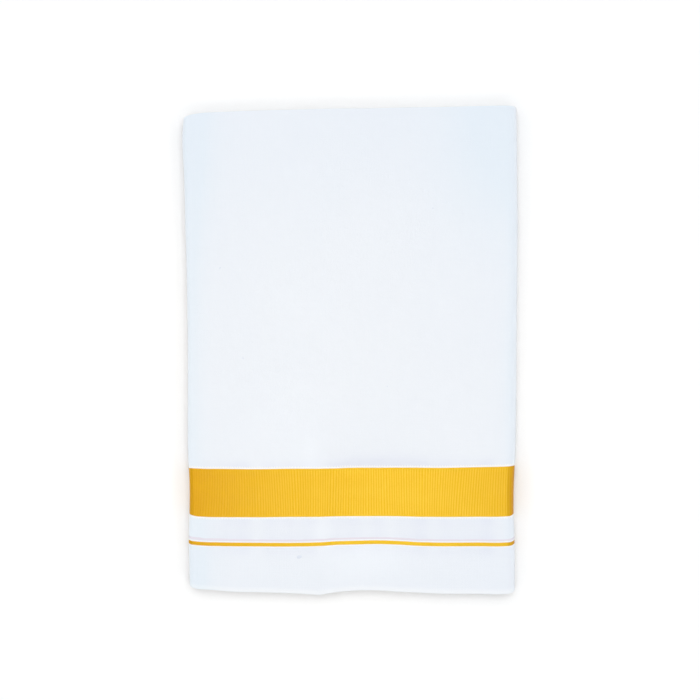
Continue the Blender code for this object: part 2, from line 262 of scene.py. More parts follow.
class DhotiSizes(bpy.types.PropertyGroup):
    """Sizes of the weave and its borders."""

    ply: FloatProperty(
        name="Ply", description="Thickness of one ply of the cloth",
        default=0.00036, min=0.0001, max=0.001, precision=5, unit="LENGTH")
    mesh_step: FloatProperty(
        name="Mesh Step", description="Distance between points of the plain weave's mesh",
        default=0.0023, min=0.001, max=0.02, precision=4, unit="LENGTH")
    thread: FloatProperty(
        name="Thread", description="Distance between neighbouring threads of the plain weave",
        default=0.00044, min=0.0001, max=0.005, precision=5, unit="LENGTH")
    rib_pitch: FloatProperty(
        name="Rib Pitch", description="Distance between neighbouring ribs of the gold border",
        default=0.00222, min=0.0005, max=0.01, precision=5, unit="LENGTH")
    rib_relief: FloatProperty(
        name="Rib Relief", description="Height of the gold border's ribs",
        default=0.00015, min=0.0, max=0.0005, precision=5, unit="LENGTH")
    plain_edge: FloatProperty(
        name="Plain Edge", description="Width of the rib-free stripe along both sides of the gold border",
        default=0.0024, min=0.0, max=0.01, precision=4, unit="LENGTH")
    selvage: FloatProperty(
        name="Selvage", description="Width of the dense tape along the open edge",
        default=0.0048, min=0.0, max=0.02, precision=4, unit="LENGTH")
    border_cord: FloatProperty(
        name="Border Cord", description="Width of the white cords beside the gold border",
        default=0.0010, min=0.0005, max=0.005, precision=4, unit="LENGTH")
    line_cord: FloatProperty(
        name="Line Cord", description="Width of the white cords beside the gold line",
        default=0.0009, min=0.0005, max=0.005, precision=4, unit="LENGTH")
    cord_relief: FloatProperty(
        name="Cord Relief", description="Height of the white cords above the weave",
        default=0.00016, min=0.0, max=0.0005, precision=5, unit="LENGTH")
    seed: IntProperty(
        name="Seed", description="Seed of the uneven heights of the ribs",
        default=7, min=0, max=9999)


class DhotiColours(bpy.types.PropertyGroup):
    """Colours of the threads, of the light and shade painted on the cotton and the gold, and of the stage.
    """

    cotton: FloatVectorProperty(
        name="Cotton", description="Bleached cotton of the plain weave",
        default=(0.824, 0.852, 0.904), min=0.0, max=1.0, size=3, subtype="COLOR")
    cotton_shade: FloatVectorProperty(
        name="Cotton Shade", description="The thinner, bluer threads of the plain weave",
        default=(0.798, 0.832, 0.894), min=0.0, max=1.0, size=3, subtype="COLOR")
    slub: FloatVectorProperty(
        name="Slub Yarn", description="Yarn of the knots",
        default=(0.738, 0.782, 0.872), min=0.0, max=1.0, size=3, subtype="COLOR")
    cord: FloatVectorProperty(
        name="Cord", description="Bright cotton of the cords",
        default=(0.908, 0.914, 0.920), min=0.0, max=1.0, size=3, subtype="COLOR")
    tape: FloatVectorProperty(
        name="Selvage", description="Denser cotton of the selvage along the open edge",
        default=(0.856, 0.876, 0.916), min=0.0, max=1.0, size=3, subtype="COLOR")
    inner_cotton: FloatVectorProperty(
        name="Inner Cotton", description="Cotton of the plies inside the pack",
        default=(0.800, 0.840, 0.885), min=0.0, max=1.0, size=3, subtype="COLOR")
    # painted highlight on the crests and painted shade in the grooves: the colour step between them is
    # painted light
    gold_crest_highlight: FloatVectorProperty(
        name="Gold Crest", description="Gold thread on the crests of the ribs",
        default=(0.930, 0.612, 0.064), min=0.0, max=1.0, size=3, subtype="COLOR")
    gold_groove_shade: FloatVectorProperty(
        name="Gold Groove", description="Gold thread between the ribs",
        default=(0.755, 0.424, 0.000), min=0.0, max=1.0, size=3, subtype="COLOR")
    gold_edge: FloatVectorProperty(
        name="Gold Edge", description="Gold thread of the plain edges and of the thin line",
        default=(0.800, 0.500, 0.026), min=0.0, max=1.0, size=3, subtype="COLOR")
    # painted shade: the gold away from its painted sheen, darker towards the spine's round
    gold_dull: FloatVectorProperty(
        name="Dull Gold", description="Gold thread near the folds, where handling has dulled it",
        default=(0.620, 0.277, 0.0), min=0.0, max=1.0, size=3, subtype="COLOR")
    pink: FloatVectorProperty(
        name="Pink Thread", description="The pale pink thread beside the gold line",
        default=(0.772, 0.735, 0.815), min=0.0, max=1.0, size=3, subtype="COLOR")
    # painted light: the colour the cotton takes on the round of both ends and in the pools of light
    pale: FloatVectorProperty(
        name="Pale Cotton", description="Cotton where it is palest, on the round of both ends",
        default=(0.868, 0.905, 0.965), min=0.0, max=1.0, size=3, subtype="COLOR")
    # painted shade: this multiplies the cotton's colour, cooler and darker towards the ends and the corners
    cool_shade_tint: FloatVectorProperty(
        name="Laundry Blue", description="What multiplies the cotton's colour where it holds most blue",
        default=(0.954, 0.988, 1.000), min=0.0, max=1.0, size=3, subtype="COLOR")
    # painted shade: this multiplies the cotton's colour in the hollow beside the gold
    drawn: FloatVectorProperty(
        name="Drawn In", description="What multiplies the cotton's colour where it is drawn in",
        default=(0.925, 0.924, 0.965), min=0.0, max=1.0, size=3, subtype="COLOR")
    floor: FloatVectorProperty(
        name="Floor", description="The pale floor",
        default=(0.95, 0.938, 0.934), min=0.0, max=1.0, size=3, subtype="COLOR")


# ---------------------------------------------------------------- lines and heights of the pack

def smooth_column(table, column, at):
    """One column of a table, read at places of its first column.

    Between two rows it is the cubic that has their values at its ends. Its slope at a row is that of
    the parabola through the row and its two neighbours, or of the straight line at the table's ends.
    """
    places = np.array([row[0] for row in table])
    values = np.array([row[column] for row in table])
    slopes = np.gradient(values, places)
    at = np.clip(at, places[0], places[-1])
    cell = np.clip(np.searchsorted(places, at, side="right") - 1, 0, len(places) - 2)
    step = places[cell + 1] - places[cell]
    t = (at - places[cell]) / step
    rise = t * t * (3 - 2 * t)
    return (values[cell] * (1 - rise) + values[cell + 1] * rise
            + slopes[cell] * step * t * (1 - t) ** 2
            - slopes[cell + 1] * step * t * t * (1 - t))


def key_line(column, share):
    """Y of one of the key lines at a share across the pack."""
    straight = {
        FRONT: -HALF_DEPTH,
        LINE: -HALF_DEPTH + LINE_CENTRE,
        BAND_LOW: -HALF_DEPTH + BAND_START,
        BAND_HIGH: -HALF_DEPTH + BAND_START + BAND_WIDTH,
        BACK: HALF_DEPTH,
    }[column]
    return straight + smooth_column(KEY_LINES, column, share) * MM


def end_line(column, y):
    """X of the turned end (LEFT) or of the spine (RIGHT) at a given y."""
    along = (y + HALF_DEPTH) / PACK_DEPTH
    side = -HALF_WIDTH if column == LEFT else HALF_WIDTH
    return side + smooth_column(END_LINES, column, along) * MM


def forms(table, x, y):
    """Sum of long bumps: peak times exp of minus (across / reach) squared minus (along / run) squared."""
    z = np.zeros(np.broadcast(x, y).shape)
    for form_x, form_y, peak, reach, run, turn in table:
        angle = math.radians(turn)
        across = (x - form_x) * math.cos(angle) + (y - form_y) * math.sin(angle)
        along = (y - form_y) * math.cos(angle) - (x - form_x) * math.sin(angle)
        z = z + peak * np.exp(-(across / reach) ** 2 - (along / run) ** 2)
    return z


def top_height(x, y):
    """Height of the top: level, plus soft forms and creases, less the sink along its two edges."""
    z = PACK_HEIGHT - TOP_SETTLE + forms(TOP_FORMS, x, y) + forms(TOP_CREASES, x, y)
    for edge in (-HALF_DEPTH, HALF_DEPTH):
        z = z - EDGE_SINK * np.exp(-((y - edge) / EDGE_SINK_RUN) ** 2)
    return z


SLOW_SWAY = 0.00020               # height of the strips' long waves, one for each half of the pack
QUICK_SWAY = 0.00007              # height of their short waves, one for each two strips


def height(x, y, level):
    """Height of a level, counted in strips from the top: the top and the underside, mixed by level.

    Between them the strips lie in waves, which are the sine of the level times sines of x and y, so
    that they vanish at the top, at the middle and at the underside.
    """
    base = SEAT_LIFT + forms(BASE_HOLLOWS, x, y)
    top = top_height(x, y)
    half_pack = STRIPS / 2
    slow = SLOW_SWAY * np.sin(math.pi * level / half_pack) * np.sin(23 * x + 9 * y + 0.7)
    quick = QUICK_SWAY * np.sin(math.pi * level / 2) * np.sin(61 * x - 17 * y) * np.cos(29 * y + 1.1)
    return base + (top - base) * (1 - level / STRIPS) + slow + quick


# ---------------------------------------------------------------- the ribbon's folded path

def left_end_table():
    """Inset, reach and height in strips of the left end of each strip, by the strip's number."""
    table = np.zeros((STRIPS + 1, 3))
    for first, last, inset, reach in LEFT_ENDS:
        table[first:last + 1] = inset, reach, last - first + 1
    return table


LEFT_INSET, LEFT_REACH, LEFT_SPAN = left_end_table().T


def strip_level(strip, share, face_up):
    """Level of a share of a strip's thickness. Share 1 is its ply 1, which lies up or down."""
    free = 1 - 2 * GAP_SHARE
    return strip - 1 + GAP_SHARE + free * np.where(face_up, 1 - share, share)


def fold_point(path, y, share):
    """X and z at a place of the ribbon's path, a y and a share of its thickness.

    The path counts runs and turns: its whole part is even in a run and odd in a turn, and the rest is
    the place within it. A run goes straight between its left end and the spine at the strip's level.
    A turn is a half ellipse between the levels of the two strips that it joins: its reach along X
    shrinks as those levels draw together, so that all turns at one end nest inside each other.
    """
    part = np.clip(np.floor(path).astype(int), 0, 2 * STRIPS - 2)
    place = path - part
    run = part // 2
    turning = part % 2 == 1
    to_spine = run % 2 == 0
    here = STRIP_ORDER[run]
    there = np.where(turning, STRIP_ORDER[np.minimum(run + 1, STRIPS - 1)], here)
    left = end_line(LEFT, y) + LEFT_INSET[here] + LEFT_REACH[here]
    spine = end_line(RIGHT, y) - SPINE_REACH
    across = np.where(turning, to_spine, np.where(to_spine, place, 1 - place))
    x = left + (spine - left) * across
    z_here = height(x, y, strip_level(here, share, ~to_spine))
    z_there = height(x, y, strip_level(there, share, ~to_spine ^ turning))
    turn = np.where(turning, math.pi * place, 0.0)
    span = np.where(to_spine, STRIPS, LEFT_SPAN[here]) / STRIPS
    reach = np.where(to_spine, SPINE_REACH, -LEFT_REACH[here])
    nesting = np.abs(z_here - z_there) / (span * top_height(x, y))
    x = x + reach * nesting * np.sin(turn)
    z = (z_here + z_there) / 2 + (z_here - z_there) / 2 * np.cos(turn)
    return x, z


def share_across(path):
    """Share across the pack at which a place of the path lies, along the pack's middle."""
    x, _ = fold_point(path, np.zeros(np.shape(path)), 1.0)
    left, right = end_line(LEFT, 0.0), end_line(RIGHT, 0.0)
    return (x - left) / (right - left)


# The outer ply shows from just inside the lower nose, round the pack, to just inside the upper nose
RETURN_SHARE = RETURN_RUN / (2 * HALF_WIDTH)
OUTER_START = LOWER_NOSE - RETURN_SHARE
OUTER_STOP = UPPER_NOSE + 1 + RETURN_SHARE
LENGTH_SAMPLES = 8001


def outer_lengths():
    """Path places along the outer ply and the cloth's length from its start to each of them."""
    path = np.linspace(OUTER_START, OUTER_STOP, LENGTH_SAMPLES)
    x, z = fold_point(path, np.zeros(path.shape), 1.0)
    length = np.concatenate(([0.0], np.cumsum(np.hypot(np.diff(x), np.diff(z)))))
    return path, length


OUTER_PATH, OUTER_LENGTH = outer_lengths()
OUTER_TURN_STEPS = 18             # stations of each turn of the outer ply


def length_at(path):
    """Length of cloth from the outer ply's start to each place of its path, as a column."""
    return np.interp(path, OUTER_PATH, OUTER_LENGTH)[:, None]


def outer_stations(step):
    """Places along the outer ply: a given step apart on the top, and twice that on the underside."""
    run_steps = round(2 * HALF_WIDTH / step)
    steps = {LOWER_NOSE: OUTER_TURN_STEPS, UNDERSIDE: run_steps // 2, SPINE: OUTER_TURN_STEPS,
             TOP: run_steps, UPPER_NOSE: OUTER_TURN_STEPS}
    parts = [part + np.arange(count) / count for part, count in steps.items()]
    return np.concatenate(([OUTER_START], *parts, [UPPER_NOSE + 1.0, OUTER_STOP]))


def even_stations(step):
    """Places along the outer ply, an even step of cloth apart."""
    count = round(OUTER_LENGTH[-1] / step)
    return np.interp(np.linspace(0.0, OUTER_LENGTH[-1], count + 1), OUTER_LENGTH, OUTER_PATH)


def strip_thickness(x, y):
    """Thickness of one strip at a place of the pack."""
    return top_height(x, y) * (1 - 2 * GAP_SHARE) / STRIPS


# ---------------------------------------------------------------- meshes

SHARP_ANGLE = 50.0                # faces that meet at more degrees than this keep a sharp edge


def link(item):
    """Link an object to the scene."""
    bpy.context.scene.collection.objects.link(item)
    return item


def lattice_quads(points):
    """Which points of a lattice [i, j, k] lie on its outside, and the quads that close them to a shell.

    The quads of all six sides run the same way round. Where the volume they enclose, the sum of the
    triple products of their corners, comes out negative, they are all turned over.
    """
    outside = np.ones(points.shape[:3], dtype=bool)
    outside[1:-1, 1:-1, 1:-1] = False
    number = np.full(outside.shape, -1)
    number[outside] = np.arange(np.count_nonzero(outside))
    sides = (
        # points of the side, whether its quads are turned over
        (number[0], False),
        (number[-1], True),
        (number[:, 0], True),
        (number[:, -1], False),
        (number[:, :, 0], False),
        (number[:, :, -1], True),
    )
    quads = []
    for side, turned in sides:
        corners = np.stack((side[:-1, :-1], side[1:, :-1], side[1:, 1:], side[:-1, 1:]), axis=-1)
        corners = corners.reshape(-1, 4)
        quads.append(corners[:, ::-1] if turned else corners)
    quads = np.concatenate(quads)
    a, b, c, d = (points[outside][quads[:, corner]] for corner in range(4))
    volume = np.einsum("ij,ij->", a, np.cross(b, c)) + np.einsum("ij,ij->", a, np.cross(c, d))
    return outside, quads[:, ::-1] if volume < 0 else quads


def quad_mesh(name, points, quads):
    """A mesh of points and quads."""
    mesh = bpy.data.meshes.new(name)
    mesh.vertices.add(len(points))
    mesh.vertices.foreach_set("co", points.astype(np.float32).ravel())
    mesh.loops.add(quads.size)
    mesh.loops.foreach_set("vertex_index", quads.astype(np.int32).ravel())
    mesh.polygons.add(len(quads))
    mesh.polygons.foreach_set("loop_start", np.arange(0, quads.size, 4, dtype=np.int32))
    mesh.update(calc_edges=True)
    return mesh


def lattice_piece(name, points, uv, material, **marks):
    """Close the outside of a lattice of points [i, j, k] into one shell and link it to the scene.

    uv gives the cloth's own coordinates at each point, in metres: along the ribbon and from the
    selvage. marks are attributes for the material, one value from 0 to 1 a point.
    """
    outside, quads = lattice_quads(points)
    mesh = quad_mesh(name, points[outside], quads)
    cloth = np.broadcast_to(uv, outside.shape + (2,))[outside]
    layer = mesh.uv_layers.new(name="cloth")
    layer.data.foreach_set("uv", cloth[quads.ravel()].astype(np.float32).ravel())
    for mark, values in marks.items():
        attribute = mesh.attributes.new(mark, "FLOAT", "POINT")
        spread = np.broadcast_to(values, outside.shape)[outside]
        attribute.data.foreach_set("value", spread.astype(np.float32))
    if mesh.validate():
        raise RuntimeError(f"the mesh of {name} had to be mended")
    mesh.materials.append(material)
    mesh.shade_smooth()
    mesh.set_sharp_from_angle(angle=math.radians(SHARP_ANGLE))
    old = bpy.data.objects.get(name)
    if old is not None:
        bpy.data.objects.remove(old, do_unlink=True)
    piece = link(bpy.data.objects.new(name, mesh))
    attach(piece, BODY)
    return piece


def ply_points(path, rows, rise):
    """Points on the outer ply, at a y in each row. rise is how far each stands out of it."""
    place = path[:, None, None]
    ground, _ = fold_point(place, rows, 1.0)
    x, z = fold_point(place, rows, 1 + rise / strip_thickness(ground, rows))
    return np.stack((x, rows, z), axis=-1)


def cloth_shell(path, y, outer_rise, inner_rise):
    """Points of a thin shell along the outer ply [station, row, face], and its cloth coordinates.

    path gives each station's place and y each point's place across the pack. The rises say how far
    its two faces stand out of the ply.
    """
    rows = np.stack((y, y), axis=-1)
    rise = np.stack(np.broadcast_arrays(outer_rise, inner_rise), axis=-1)
    uv = np.stack(np.broadcast_arrays(length_at(path)[:, :, None], rows + HALF_DEPTH), axis=-1)
    return ply_points(path, rows, rise), uv


# ---------------------------------------------------------------- rows, puckers and marks of the zones

def zone_lines(zone, share):
    """Y of the front and the back edge of a woven zone at a share across the pack."""
    line = key_line(LINE, share)
    return {
        "margin": (key_line(FRONT, share), line - LINE_WIDTH / 2),
        "line": (line - LINE_WIDTH / 2, line + LINE_WIDTH / 2),
        "gap": (line + LINE_WIDTH / 2, key_line(BAND_LOW, share)),
        "border": (key_line(BAND_LOW, share), key_line(BAND_HIGH, share)),
        "field": (key_line(BAND_HIGH, share), key_line(BACK, share)),
    }[zone]


def zone_rows(zone, path, shares):
    """Y of the rows of a woven zone, at shares between its two edges, for each place of the path."""
    low, high = zone_lines(zone, share_across(path))
    return low[:, None] + (high - low)[:, None] * shares


def even_shares(width, step):
    """Shares from 0 to 1 about a step apart on a given width."""
    return np.linspace(0.0, 1.0, max(2, round(width / step)) + 1)


def smooth_step(low, high, value):
    """0 below low, 1 above high, and an S curve between them."""
    t = np.clip((value - low) / (high - low), 0.0, 1.0)
    return t * t * (3 - 2 * t)


def fade_at_edges(shares, front, back):
    """1 in the middle of a zone, and S curves down to 0 at its edges, over the given shares of it."""
    return smooth_step(0.0, front, shares) * smooth_step(1.0, 1 - back, shares)


PUCKER = 0.000018                 # height of the plain weave's puckers, in metres


def weave_puckers(along, across):
    """Small uneven puckers of slack cloth: a sum of products of sines along and across the cloth."""
    return PUCKER * (
        np.sin(310 * along + 40 * across) * np.sin(270 * across + 1.3)
        + np.sin(173 * along - 88 * across + 2.0) * np.sin(421 * across)
        + 0.8 * np.sin(531 * along + 0.4) * np.sin(95 * across + 0.9)
    )


def painted_cool_shade(points):
    """How much painted shade, cooler and darker, the cotton takes, from 0 to 1: bell curves from both ends,
    and the table.
    """
    x, y = points[..., 0], points[..., 1]
    left = np.exp(-((x - end_line(LEFT, y)) / COOL_SHADE_REACH_LEFT) ** 2)
    right = np.exp(-((end_line(RIGHT, y) - x) / COOL_SHADE_REACH_RIGHT) ** 2)
    return np.clip(COOL_SHADE_LEFT * left + COOL_SHADE_RIGHT * right + forms(COOL_SHADE_PATCHES, x, y), 0.0, 1.0)


def painted_hollow_shade(points, *shaded_edges):
    """How much painted shade the cotton takes beside the gold, from 0 to 1.

    Each shaded edge comes from an edge of the gold: its y at each station, its amount and its reach make a
    bell curve across the cloth, uneven along it by three sines of x. The table's places are added, and
    all of it gives way to the painted cool shade at the ends.
    """
    x, y = points[..., 0], points[..., 1]
    uneven = 1 + 0.30 * np.sin(118 * x + 1.0) + 0.25 * np.sin(331 * x) + 0.30 * np.sin(207 * x + 2.6)
    amount = forms(HOLLOW_SHADE_PATCHES, x, y)
    for edge, strongest, reach in shaded_edges:
        amount = amount + uneven * strongest * np.exp(-((y - edge[:, None, None]) / reach) ** 2)
    return np.clip(amount, 0.0, 1.0) * (1 - painted_cool_shade(points))


def painted_light(points):
    """How much painted light the cotton takes, from 0 to 1: an S curve from the outline of both ends, and
    the table.
    """
    x, y = points[..., 0], points[..., 1]
    left = smooth_step(LIGHT_REACH_LEFT, 0.0, x - end_line(LEFT, y))
    right = smooth_step(LIGHT_REACH_RIGHT, 0.0, end_line(RIGHT, y) - x)
    return np.clip(left + right + forms(LIGHT_POOLS, x, y), 0.0, 1.0)


def cotton_marks(points, *shaded_edges, tape=0.0):
    """The marks of a cotton piece, painted light and shade among them.

    tape is how much of it is the selvage's tape, shaded_edges as in painted_hollow_shade.
    """
    return {
        "selvage": tape * np.ones(1),
        "blue": painted_cool_shade(points),
        "drawn": painted_hollow_shade(points, *shaded_edges),
        "pale": painted_light(points),
    }


# ---------------------------------------------------------------- woven zones

MARGIN_WIDTH = LINE_CENTRE - LINE_WIDTH / 2
GAP_WIDTH = BAND_START - LINE_CENTRE - LINE_WIDTH / 2
FIELD_WIDTH = PACK_DEPTH - (BAND_START + BAND_WIDTH)
FIELD_FADE = (0.06, 0.03)         # puckers die out over these shares of a zone at its front and back edge
GAP_FADE = (0.15, 0.15)
MARGIN_FADE = 0.10                # the margin's, at its back edge: at the front they die out over the tape
GAP_STEP = 0.7                    # distance between the gap's rows, in mesh steps
FOLD_STEPS = 8                    # steps round the fold at the back edge
FOLD_CORE = 0.06                  # radius of the cloth's inner face there, in plies
RETURN_ROWS = 0.0040 * np.array((0.5, 1.0))    # how far its rows run back under itself past that fold


def folded_face(flat_y, flat_rise, back, radius, ply):
    """Y and rise of one face of the field: its flat rows, a half circle round the fold, and the return.

    The half circle's centre lies a ply below the outer face, at the y of back.
    """
    turn = math.pi * np.arange(1, FOLD_STEPS + 1) / FOLD_STEPS
    fold_y = back + radius * np.sin(turn)
    fold_rise = np.broadcast_to(-ply + radius * np.cos(turn), fold_y.shape)
    return_y = back - RETURN_ROWS
    return_rise = np.full(return_y.shape, -ply - radius)
    return np.hstack((flat_y, fold_y, return_y)), np.hstack((flat_rise, fold_rise, return_rise))


def field_weave(sizes, colours):
    """The wide field: ground weave with puckers, folded back under itself along the back edge."""
    ply = sizes.ply
    path = outer_stations(sizes.mesh_step)
    flat_width = FIELD_WIDTH - ply
    shares = even_shares(flat_width, sizes.mesh_step)
    low, high = zone_lines("field", share_across(path))
    back = (high - ply)[:, None]
    flat_y = low[:, None] + (back - low[:, None]) * shares
    along = length_at(path)
    puckers = weave_puckers(along, flat_y) * fade_at_edges(shares, *FIELD_FADE)
    core = FOLD_CORE * ply
    outer_face = folded_face(flat_y, puckers, back, ply, ply)
    inner_face = folded_face(flat_y, np.full(flat_y.shape, -ply + core), back, core, ply)
    rows, rise = (np.stack(faces, axis=-1) for faces in zip(outer_face, inner_face))
    points = ply_points(path, rows, rise)
    past_fold = ply * math.pi
    from_back = np.concatenate((
        (shares - 1) * flat_width,
        past_fold * np.arange(1, FOLD_STEPS + 1) / FOLD_STEPS,
        past_fold + RETURN_ROWS,
    ))
    from_selvage = (PACK_DEPTH + from_back)[None, :, None]
    uv = np.stack(np.broadcast_arrays(along[:, :, None], from_selvage, rows)[:2], axis=-1)
    piece = lattice_piece("field_weave", points, uv, cotton_material("woven_cotton", sizes, colours),
                          **cotton_marks(points, (low, *FIELD_SHADE)))
    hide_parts("field_cloth")
    return piece


RIBS = 400                        # rows of random heights, more than the border has ribs
RIB_PATCHES = 12                  # columns of random heights
PATCHES_ACROSS = 10               # so many of them span the border's width
FLATTEST_RIB = 0.72               # height of the flattest rib, where the highest one has 1


def rib_wave(along, across, sizes):
    """Height of the gold border's ribs, from 0 in a groove to 1 on a crest, and how high each rib is.

    The wave is half of one plus the cosine of the length over the pitch. Slow sines shift it, so that
    the pitch is uneven and the ribs lean a little one way and the other. Each rib has a height of its
    own, and patches along it differ by up to a fifth.
    """
    middle = BAND_START + BAND_WIDTH / 2 - HALF_DEPTH
    lean = 0.035 * np.sin(57 * along + 0.5) + 0.02 * np.sin(23 * along)
    shift = 0.12 * np.sin(171 * along) + 0.08 * np.sin(397 * along + 1.0)
    phase = along / sizes.rib_pitch + shift + lean * (across - middle) / sizes.rib_pitch
    wave = 0.5 + 0.5 * np.cos(2 * math.pi * phase)
    rng = np.random.default_rng(sizes.seed)
    heights = rng.uniform(FLATTEST_RIB, 1.0, RIBS)
    patches = rng.uniform(0.0, 1.0, (RIBS, RIB_PATCHES))
    rib = np.clip(np.round(phase).astype(int), 0, RIBS - 1)
    cell = (across - middle) / BAND_WIDTH * PATCHES_ACROSS + RIB_PATCHES / 2
    cell = np.clip(cell, 0, RIB_PATCHES - 1.001)
    low = cell.astype(int)
    patch = patches[rib, low] * (low + 1 - cell) + patches[rib, low + 1] * (cell - low)
    return wave, heights[rib] * (0.8 + 0.2 * patch)


SHEEN_MIDDLE = 0.036               # painted sheen: the gold is painted brightest here along X
SHEEN_REACH = 0.200                # and would be painted darkest this far from there
SPINE_DARKENING = 0.95                       # how much darker the gold is painted on the spine
SPINE_DARK_START = 0.0086               # where that starts, before the spine's outermost point
SPINE_DARK_RUN = 0.0076                 # and how far on it is full


def gold_dullness(path):
    """How much darker the gold is painted, from 0 to 1.

    It is the square of the distance from the pack's brightest part, a painted sheen that falls off from
    there, and more round the spine, darker towards its outermost point.
    """
    x, _ = fold_point(path, np.zeros(len(path)), 0.5)
    spine = SPINE_DARKENING * np.clip((x - x.max() + SPINE_DARK_START) / SPINE_DARK_RUN, 0.0, 1.0) ** 2
    return np.clip(((x - SHEEN_MIDDLE) / SHEEN_REACH) ** 2 + spine, 0.0, 1.0)[:, None, None]


STEPS_A_RIB = 6                   # stations for each rib of the border
RIB_ROWS = 13                     # rows of points along the ribs
EDGE_ROWS = np.array((0.0, 0.12, 0.4, 0.7))    # and in each plain stripe, in shares of it from outside
RIM = 0.15                        # share of the plain stripe in which it rises from its seam
RIM_HEIGHT = 0.45                 # height of the plain stripe, as a share of the ribs'
CREST_POWER = 0.8                 # the ribs' height is their wave to this power, which broadens the crests


def gold_border(sizes, colours):
    """The gold band: ribs across its whole width, which die out in a plain stripe along each side.

    The mark that paints a highlight on the crests and shade in the grooves is the ribs' wave, less up to
    a quarter where a rib is low.
    """
    path = even_stations(sizes.rib_pitch / STEPS_A_RIB)
    edge = sizes.plain_edge / BAND_WIDTH
    shares = np.concatenate((
        edge * EDGE_ROWS,
        np.linspace(edge, 1 - edge, RIB_ROWS),
        1 - edge * EDGE_ROWS[::-1],
    ))
    y = zone_rows("border", path, shares)
    wave, rib = rib_wave(length_at(path), y, sizes)
    ribbed = fade_at_edges(shares, edge, edge)
    rim = fade_at_edges(shares, RIM * edge, RIM * edge)
    crest = wave ** CREST_POWER * rib
    rise = sizes.rib_relief * (crest * ribbed + RIM_HEIGHT * rim * (1 - ribbed))
    points, uv = cloth_shell(path, y, rise, -sizes.ply)
    piece = lattice_piece("gold_border", points, uv, gold_material("gold_thread", sizes, colours),
                          # painted highlight on the crests, painted shade in the grooves
                          rib=(wave * (0.75 + 0.25 * rib))[:, :, None],
                          plain=(1 - ribbed)[None, :, None],
                          # painted sheen falloff along X, darker towards the spine
                          dull=gold_dullness(path))
    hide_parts("gold_band")
    return piece


def gap_weave(sizes, colours):
    """The white ground between the gold line and the gold border."""
    path = outer_stations(sizes.mesh_step)
    shares = even_shares(GAP_WIDTH, GAP_STEP * sizes.mesh_step)
    y = zone_rows("gap", path, shares)
    puckers = weave_puckers(length_at(path), y) * fade_at_edges(shares, *GAP_FADE)
    points, uv = cloth_shell(path, y, puckers, -sizes.ply)
    piece = lattice_piece("gap_weave", points, uv, cotton_material("woven_cotton", sizes, colours),
                          **cotton_marks(points, (y[:, 0], *GAP_SHADE), (y[:, -1], *GAP_SHADE)))
    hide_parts("gap_cloth")
    return piece


LINE_STEPS = 2                    # stations of the thin gold line, and of the pink thread, for each rib
LINE_ROWS = 9                     # rows of points across the line
LINE_HEIGHT = 0.7                 # its height, as a share of the ribs'


def gold_stripe(sizes, colours):
    """The thin gold line: a low rounded stripe, its height the fourth root of a parabola."""
    path = even_stations(sizes.rib_pitch / LINE_STEPS)
    shares = np.linspace(0.0, 1.0, LINE_ROWS)
    y = zone_rows("line", path, shares)
    along = length_at(path)
    dome = (4 * shares * (1 - shares)) ** 0.25
    beat = 1 + 0.15 * np.sin(900 * along) * np.sin(613 * along + 1.0)
    points, uv = cloth_shell(path, y, LINE_HEIGHT * sizes.rib_relief * dome * beat, -sizes.ply)
    piece = lattice_piece("gold_stripe", points, uv, gold_material("gold_thread", sizes, colours),
                          # the gold line takes the gold edge's colour and the painted sheen falloff
                          rib=np.ones(1), plain=np.ones(1), dull=gold_dullness(path))
    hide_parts("gold_line")
    return piece


TAPE_RIM_ROWS = np.array((0.0, 0.04, 0.10))    # rows of the tape's rounded edge, in shares of the tape
TAPE_RIDGES = 3                   # fine ridges along the tape
RIDGES_START = 0.16               # their first row, as a share of the tape
ROWS_A_RIDGE = 6                  # rows of points for each of them
RIDGE_HEIGHT = 0.00005
TAPE_FADE = (1.1, 0.3)            # an S curve between these shares of the tape leads from weave to tape
TAPE_ROUNDING = 0.00016           # how far the tape's outermost tenth is rounded off on each face


def margin_weave(sizes, colours):
    """The white margin, with the selvage tape along the open edge.

    The tape has three fine ridges, which are squared sines of the distance from the edge, and its
    outermost half millimetre is rounded off.
    """
    path = outer_stations(sizes.mesh_step)
    width = MARGIN_WIDTH
    tape = sizes.selvage
    rim = TAPE_RIM_ROWS * tape
    ridged = np.linspace(RIDGES_START, 1.0, ROWS_A_RIDGE * TAPE_RIDGES) * tape
    beyond = np.linspace(tape, width, round((width - tape) / sizes.mesh_step) + 1)[1:]
    from_edge = np.concatenate((rim, ridged, beyond))
    y = zone_rows("margin", path, from_edge / width)
    along = length_at(path)
    weave_end, tape_start = (share * tape for share in TAPE_FADE)
    in_tape = smooth_step(weave_end, tape_start, from_edge)
    ridge = RIDGE_HEIGHT * np.sin(TAPE_RIDGES * math.pi * np.clip(from_edge / tape, 0.0, 1.0)) ** 2
    rounding = TAPE_ROUNDING * (1 - smooth_step(0.0, 0.1 * tape, from_edge))
    waver = 1 + 0.3 * np.sin(430 * along) * np.sin(127 * along)
    puckers = weave_puckers(along, y) * fade_at_edges(from_edge / width, tape / width, MARGIN_FADE)
    rise = puckers + ridge * in_tape * waver - rounding
    points, uv = cloth_shell(path, y, rise, rounding - sizes.ply)
    piece = lattice_piece("margin_weave", points, uv, cotton_material("woven_cotton", sizes, colours),
                          **cotton_marks(points, (y[:, -1], *MARGIN_SHADE), tape=in_tape[None, :, None]))
    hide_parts("margin_cloth")
    return piece


# ---------------------------------------------------------------- cords, thread and knots

CORD_ROWS = np.array((-1.0, -0.75, -0.4, 0.0, 0.4, 0.75, 1.0))    # in halves of a cord's width
ROOT = 0.3                        # share of a ply by which cords and knots sink into the cloth


